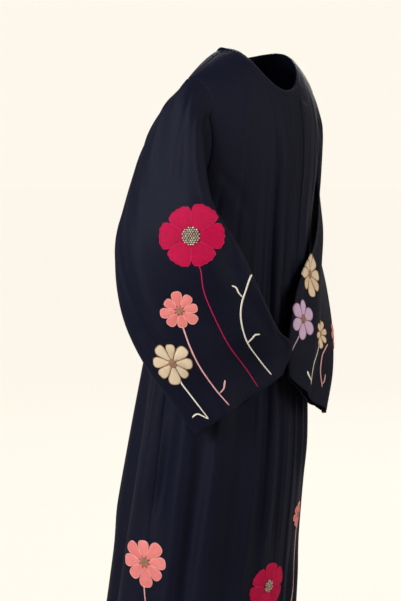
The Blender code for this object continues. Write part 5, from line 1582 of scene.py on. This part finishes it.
def bead_material(name, dark, light, rough, metal):
    """Small glossy beads or knots, each of its own shade."""
    material, shader = new_material(name, Metallic=metal, Coat_Weight=0.25, Coat_Roughness=0.2)
    place = add_node(material, "ShaderNodeTexCoord").outputs["Object"]
    speck = noise(material, place, 900.0, 2.0)
    shade = total(material, (tone_level(material), 0.0, 0.7), (speck, 0.0, 0.3))
    join(
        shader,
        Base_Color=colour_mix(material, shade, dark, light),
        Roughness=fitted(material, speck, rough - 0.08, rough + 0.12),
        Normal=bump(material, 0.25, 0.0002, speck),
    )
    return material


def thread_set(colours, **settings):
    """Thread materials by colour, each given by its name and its dark and light ends."""
    return {
        colour: thread_material(name, srgb(*dark), srgb(*light), **settings)
        for colour, (name, dark, light) in colours.items()
    }


CREPE = crepe_material("crepe_black", srgb(8, 9, 22), srgb(18, 20, 40), 0.52)
BINDING_CREPE = crepe_material("crepe_black_trim", srgb(9, 10, 24), srgb(21, 23, 44), 0.48)
BLACK_THREAD = thread_material("thread_black", srgb(12, 12, 18), srgb(44, 44, 56), rough=0.42)
PETALS = thread_set({
    "crimson": ("thread_crimson", (118, 0, 42), (226, 10, 78)),
    "coral": ("thread_coral", (206, 78, 80), (255, 156, 146)),
    "cream": ("thread_cream", (200, 162, 120), (255, 236, 206)),
    "lilac": ("thread_lilac", (184, 144, 182), (240, 212, 232)),
})
OUTLINES = thread_set({
    "crimson": ("outline_crimson", (176, 16, 66), (218, 36, 90)),
    "coral": ("outline_coral", (236, 150, 142), (252, 186, 176)),
    "cream": ("outline_tan", (150, 112, 74), (196, 158, 112)),
    "lilac": ("outline_lilac", (150, 104, 150), (190, 148, 188)),
}, pitch=0.0007)
STEM_THREADS = thread_set({
    "crimson": ("stem_crimson", (150, 14, 66), (206, 30, 92)),
    "rose": ("stem_rose", (222, 150, 150), (250, 196, 190)),
    "ivory": ("stem_ivory", (236, 222, 198), (255, 248, 234)),
    "lilac": ("stem_lilac", (170, 150, 170), (206, 186, 204)),
}, pitch=0.0006)
CENTRES = thread_set({
    "crimson": ("ground_dark", (34, 20, 22), (58, 38, 36)),
    "coral": ("ground_brown", (146, 92, 74), (176, 122, 98)),
    "cream": ("ground_tan", (150, 108, 76), (184, 140, 104)),
    "lilac": ("ground_rust", (140, 90, 70), (178, 122, 96)),
})
BEADS = bead_material("beads_tan", srgb(158, 134, 116), srgb(224, 206, 184), 0.34, 0.2)
KNOTS = bead_material("knots_tan", srgb(150, 104, 80), srgb(204, 158, 128), 0.50, 0.0)

# ---------------------------------------------------------------- pieces
grids = {name: panel_grids(name) for name in ("front_right", "front_left", "back")}
grids["sleeve_right"] = sleeve_grids(-1)
grids["sleeve_left"] = sleeve_grids(1)
faces = {name: Face(outer, "sleeve" in name) for name, (outer, inner) in grids.items()}
faces["skirt"] = Face(skirt_points(), True)

for name, (outer, inner) in grids.items():
    solid = wall(outer, inner, "sleeve" in name)
    add_piece("cloth_" + name, solid, [CREPE], [name])

binding, binding_stitches = make_binding(faces)
add_piece("binding_neck", binding, [BINDING_CREPE], ["neck_binding"])
band = add_piece("band_front", make_band(faces["front_left"]), [BINDING_CREPE], ["front_band"])
sewing = {
    "stitches_neck": binding_stitches,
    "stitches_band": band_stitches(faces["front_left"]),
    "stitches_hem": hem_stitches(faces),
    "stitches_cuff_right": cuff_stitches(faces["sleeve_right"]),
    "stitches_cuff_left": cuff_stitches(faces["sleeve_left"]),
}
for name, solid in sewing.items():
    sewing[name] = add_piece(name, solid, [BLACK_THREAD], tone=even_tone(solid, 0.5))

sewn_on = {name: [] for name in faces}
sewn_on["front_left"] = [band, sewing["stitches_band"]]
sewn_on["sleeve_right"] = [sewing["stitches_cuff_right"]]
sewn_on["sleeve_left"] = [sewing["stitches_cuff_left"]]
for bloom in BLOOMS:
    spot = SPOTS[bloom.spot]
    face = faces[spot.face]
    place = spot_start(spot, face)
    solid, material_of, tone = make_petals(bloom, face, place)
    materials = [PETALS[bloom.colour], OUTLINES[bloom.colour]]
    nodes = ["bloom_" + bloom.name]
    petals = add_piece("petals_" + bloom.name, solid, materials, nodes, material_of, tone)
    solid, material_of, tone = make_centre(bloom, face, place)
    materials = [CENTRES[bloom.colour], BEADS if bloom.colour == "crimson" else KNOTS]
    nodes = ["centre_" + bloom.name]
    knots = add_piece("knots_" + bloom.name, solid, materials, nodes, material_of, tone)
    sewn_on[spot.face] += [petals, knots]
for stem in STEMS:
    spot = SPOTS[stem.spot]
    face = faces[spot.face]
    solid = make_stem(stem, face, spot_start(spot, face))
    materials = [STEM_THREADS[stem.colour]]
    tone = even_tone(solid, 0.55)
    line = add_piece("satin_" + stem.name, solid, materials, [stem.name], tone=tone)
    sewn_on[spot.face].append(line)

# ---------------------------------------------------------------- floor, light and camera
FLOOR_DROP = cad_box[0][2] - 0.004
FLOOR_RINGS = (0.01, 4.0, 60.0)
FLOOR_SIDES = 64
FLOOR_GLOW = 0.965
SURROUND_LIGHT = 0.26  # share of their strength with which the surroundings light the cloth
BACKDROP = srgb(254, 248, 236)

# Soft lights: how far to the right, in front and above they stand, as the camera sees it.
Light = namedtuple("Light", "name right front above size power colour")
LIGHTS = (
    Light("window", -2.6, 2.2, 1.0, 2.4, 150.0, (0.90, 0.95, 1.0)),
    Light("fill", 2.8, 1.8, 0.4, 2.6, 58.0, (1.0, 0.97, 0.93)),
    Light("behind", 0.6, -3.0, 1.2, 2.2, 80.0, (1.0, 0.98, 0.95)),
)
LIGHT_TARGET = (0.0, 0.0, -0.65)


def add_light(light, place):
    """A round area light."""
    data = bpy.data.lights.new(light.name, "AREA")
    data.shape = "DISK"
    data.size, data.energy, data.color = light.size, light.power, light.colour
    add_to_scene(light.name, data, place, LIGHT_TARGET)


def seen_strength(owner, strength):
    """A strength that counts in full for the camera and less as light on the cloth."""
    seen = add_node(owner, "ShaderNodeLightPath").outputs["Is Camera Ray"]
    return fitted(owner, seen, strength * SURROUND_LIGHT, strength)


def add_floor():
    """A plain pale floor just under the hem, wide enough to have no edge in any view."""
    radius, turn = np.meshgrid(FLOOR_RINGS, turns(FLOOR_SIDES), indexing="ij")
    rings = [radius * np.cos(turn), radius * np.sin(turn), np.full(turn.shape, FLOOR_DROP)]
    number = np.arange(turn.size).reshape(turn.shape)
    faces = cells(closed(number)).tolist() + [number[0].tolist()]
    mesh = bpy.data.meshes.new("floor")
    mesh.from_pydata(np.stack(rings, axis=-1).reshape(-1, 3).tolist(), [], faces)
    mesh.update()
    material, shader = new_material(
        "floor_pale", Roughness=0.9, Specular_IOR_Level=0.1, Emission_Color=BACKDROP
    )
    cloud = noise(material, add_node(material, "ShaderNodeTexCoord").outputs["Object"], 1.5, 2.0)
    pale = colour_mix(material, cloud, (0.055, 0.050, 0.044, 1.0), (0.060, 0.055, 0.048, 1.0))
    join(shader, Base_Color=pale, Emission_Strength=seen_strength(material, FLOOR_GLOW))
    mesh.materials.append(material)
    obj = add_to_scene("floor", mesh)


add_floor()

# The pale surroundings light the cloth less than they show, as the black cloth's soft sheen needs.
world = bpy.data.worlds.new("studio")
world.use_nodes = True
background = world.node_tree.nodes["Background"]
background.inputs["Color"].default_value = BACKDROP
join(background, Strength=seen_strength(world, 1.0))
bpy.context.scene.world = world
bpy.context.scene.view_settings.view_transform = "Standard"

# The camera looks at a target beside the middle of the garment.
turn, rise = math.radians(AZIMUTH), math.radians(ELEVATION)
to_right = Vector((math.cos(turn), math.sin(turn), 0.0))
backward = Vector((math.sin(turn) * math.cos(rise), -math.cos(turn) * math.cos(rise), math.sin(rise)))
target = to_right * TARGET_ASIDE + Vector((0.0, 0.0, TARGET_HEIGHT))
camera_data = bpy.data.cameras.new("camera")
camera_data.lens = LENS
camera_data.sensor_fit = "VERTICAL"
camera_data.sensor_height = SENSOR
bpy.context.scene.camera = add_to_scene("camera", camera_data, target + backward * DISTANCE, target)

forward = Vector((backward.x, backward.y, 0.0)).normalized()
up = Vector((0.0, 0.0, 1.0))
for light in LIGHTS:
    add_light(light, to_right * light.right + forward * light.front + up * light.above)
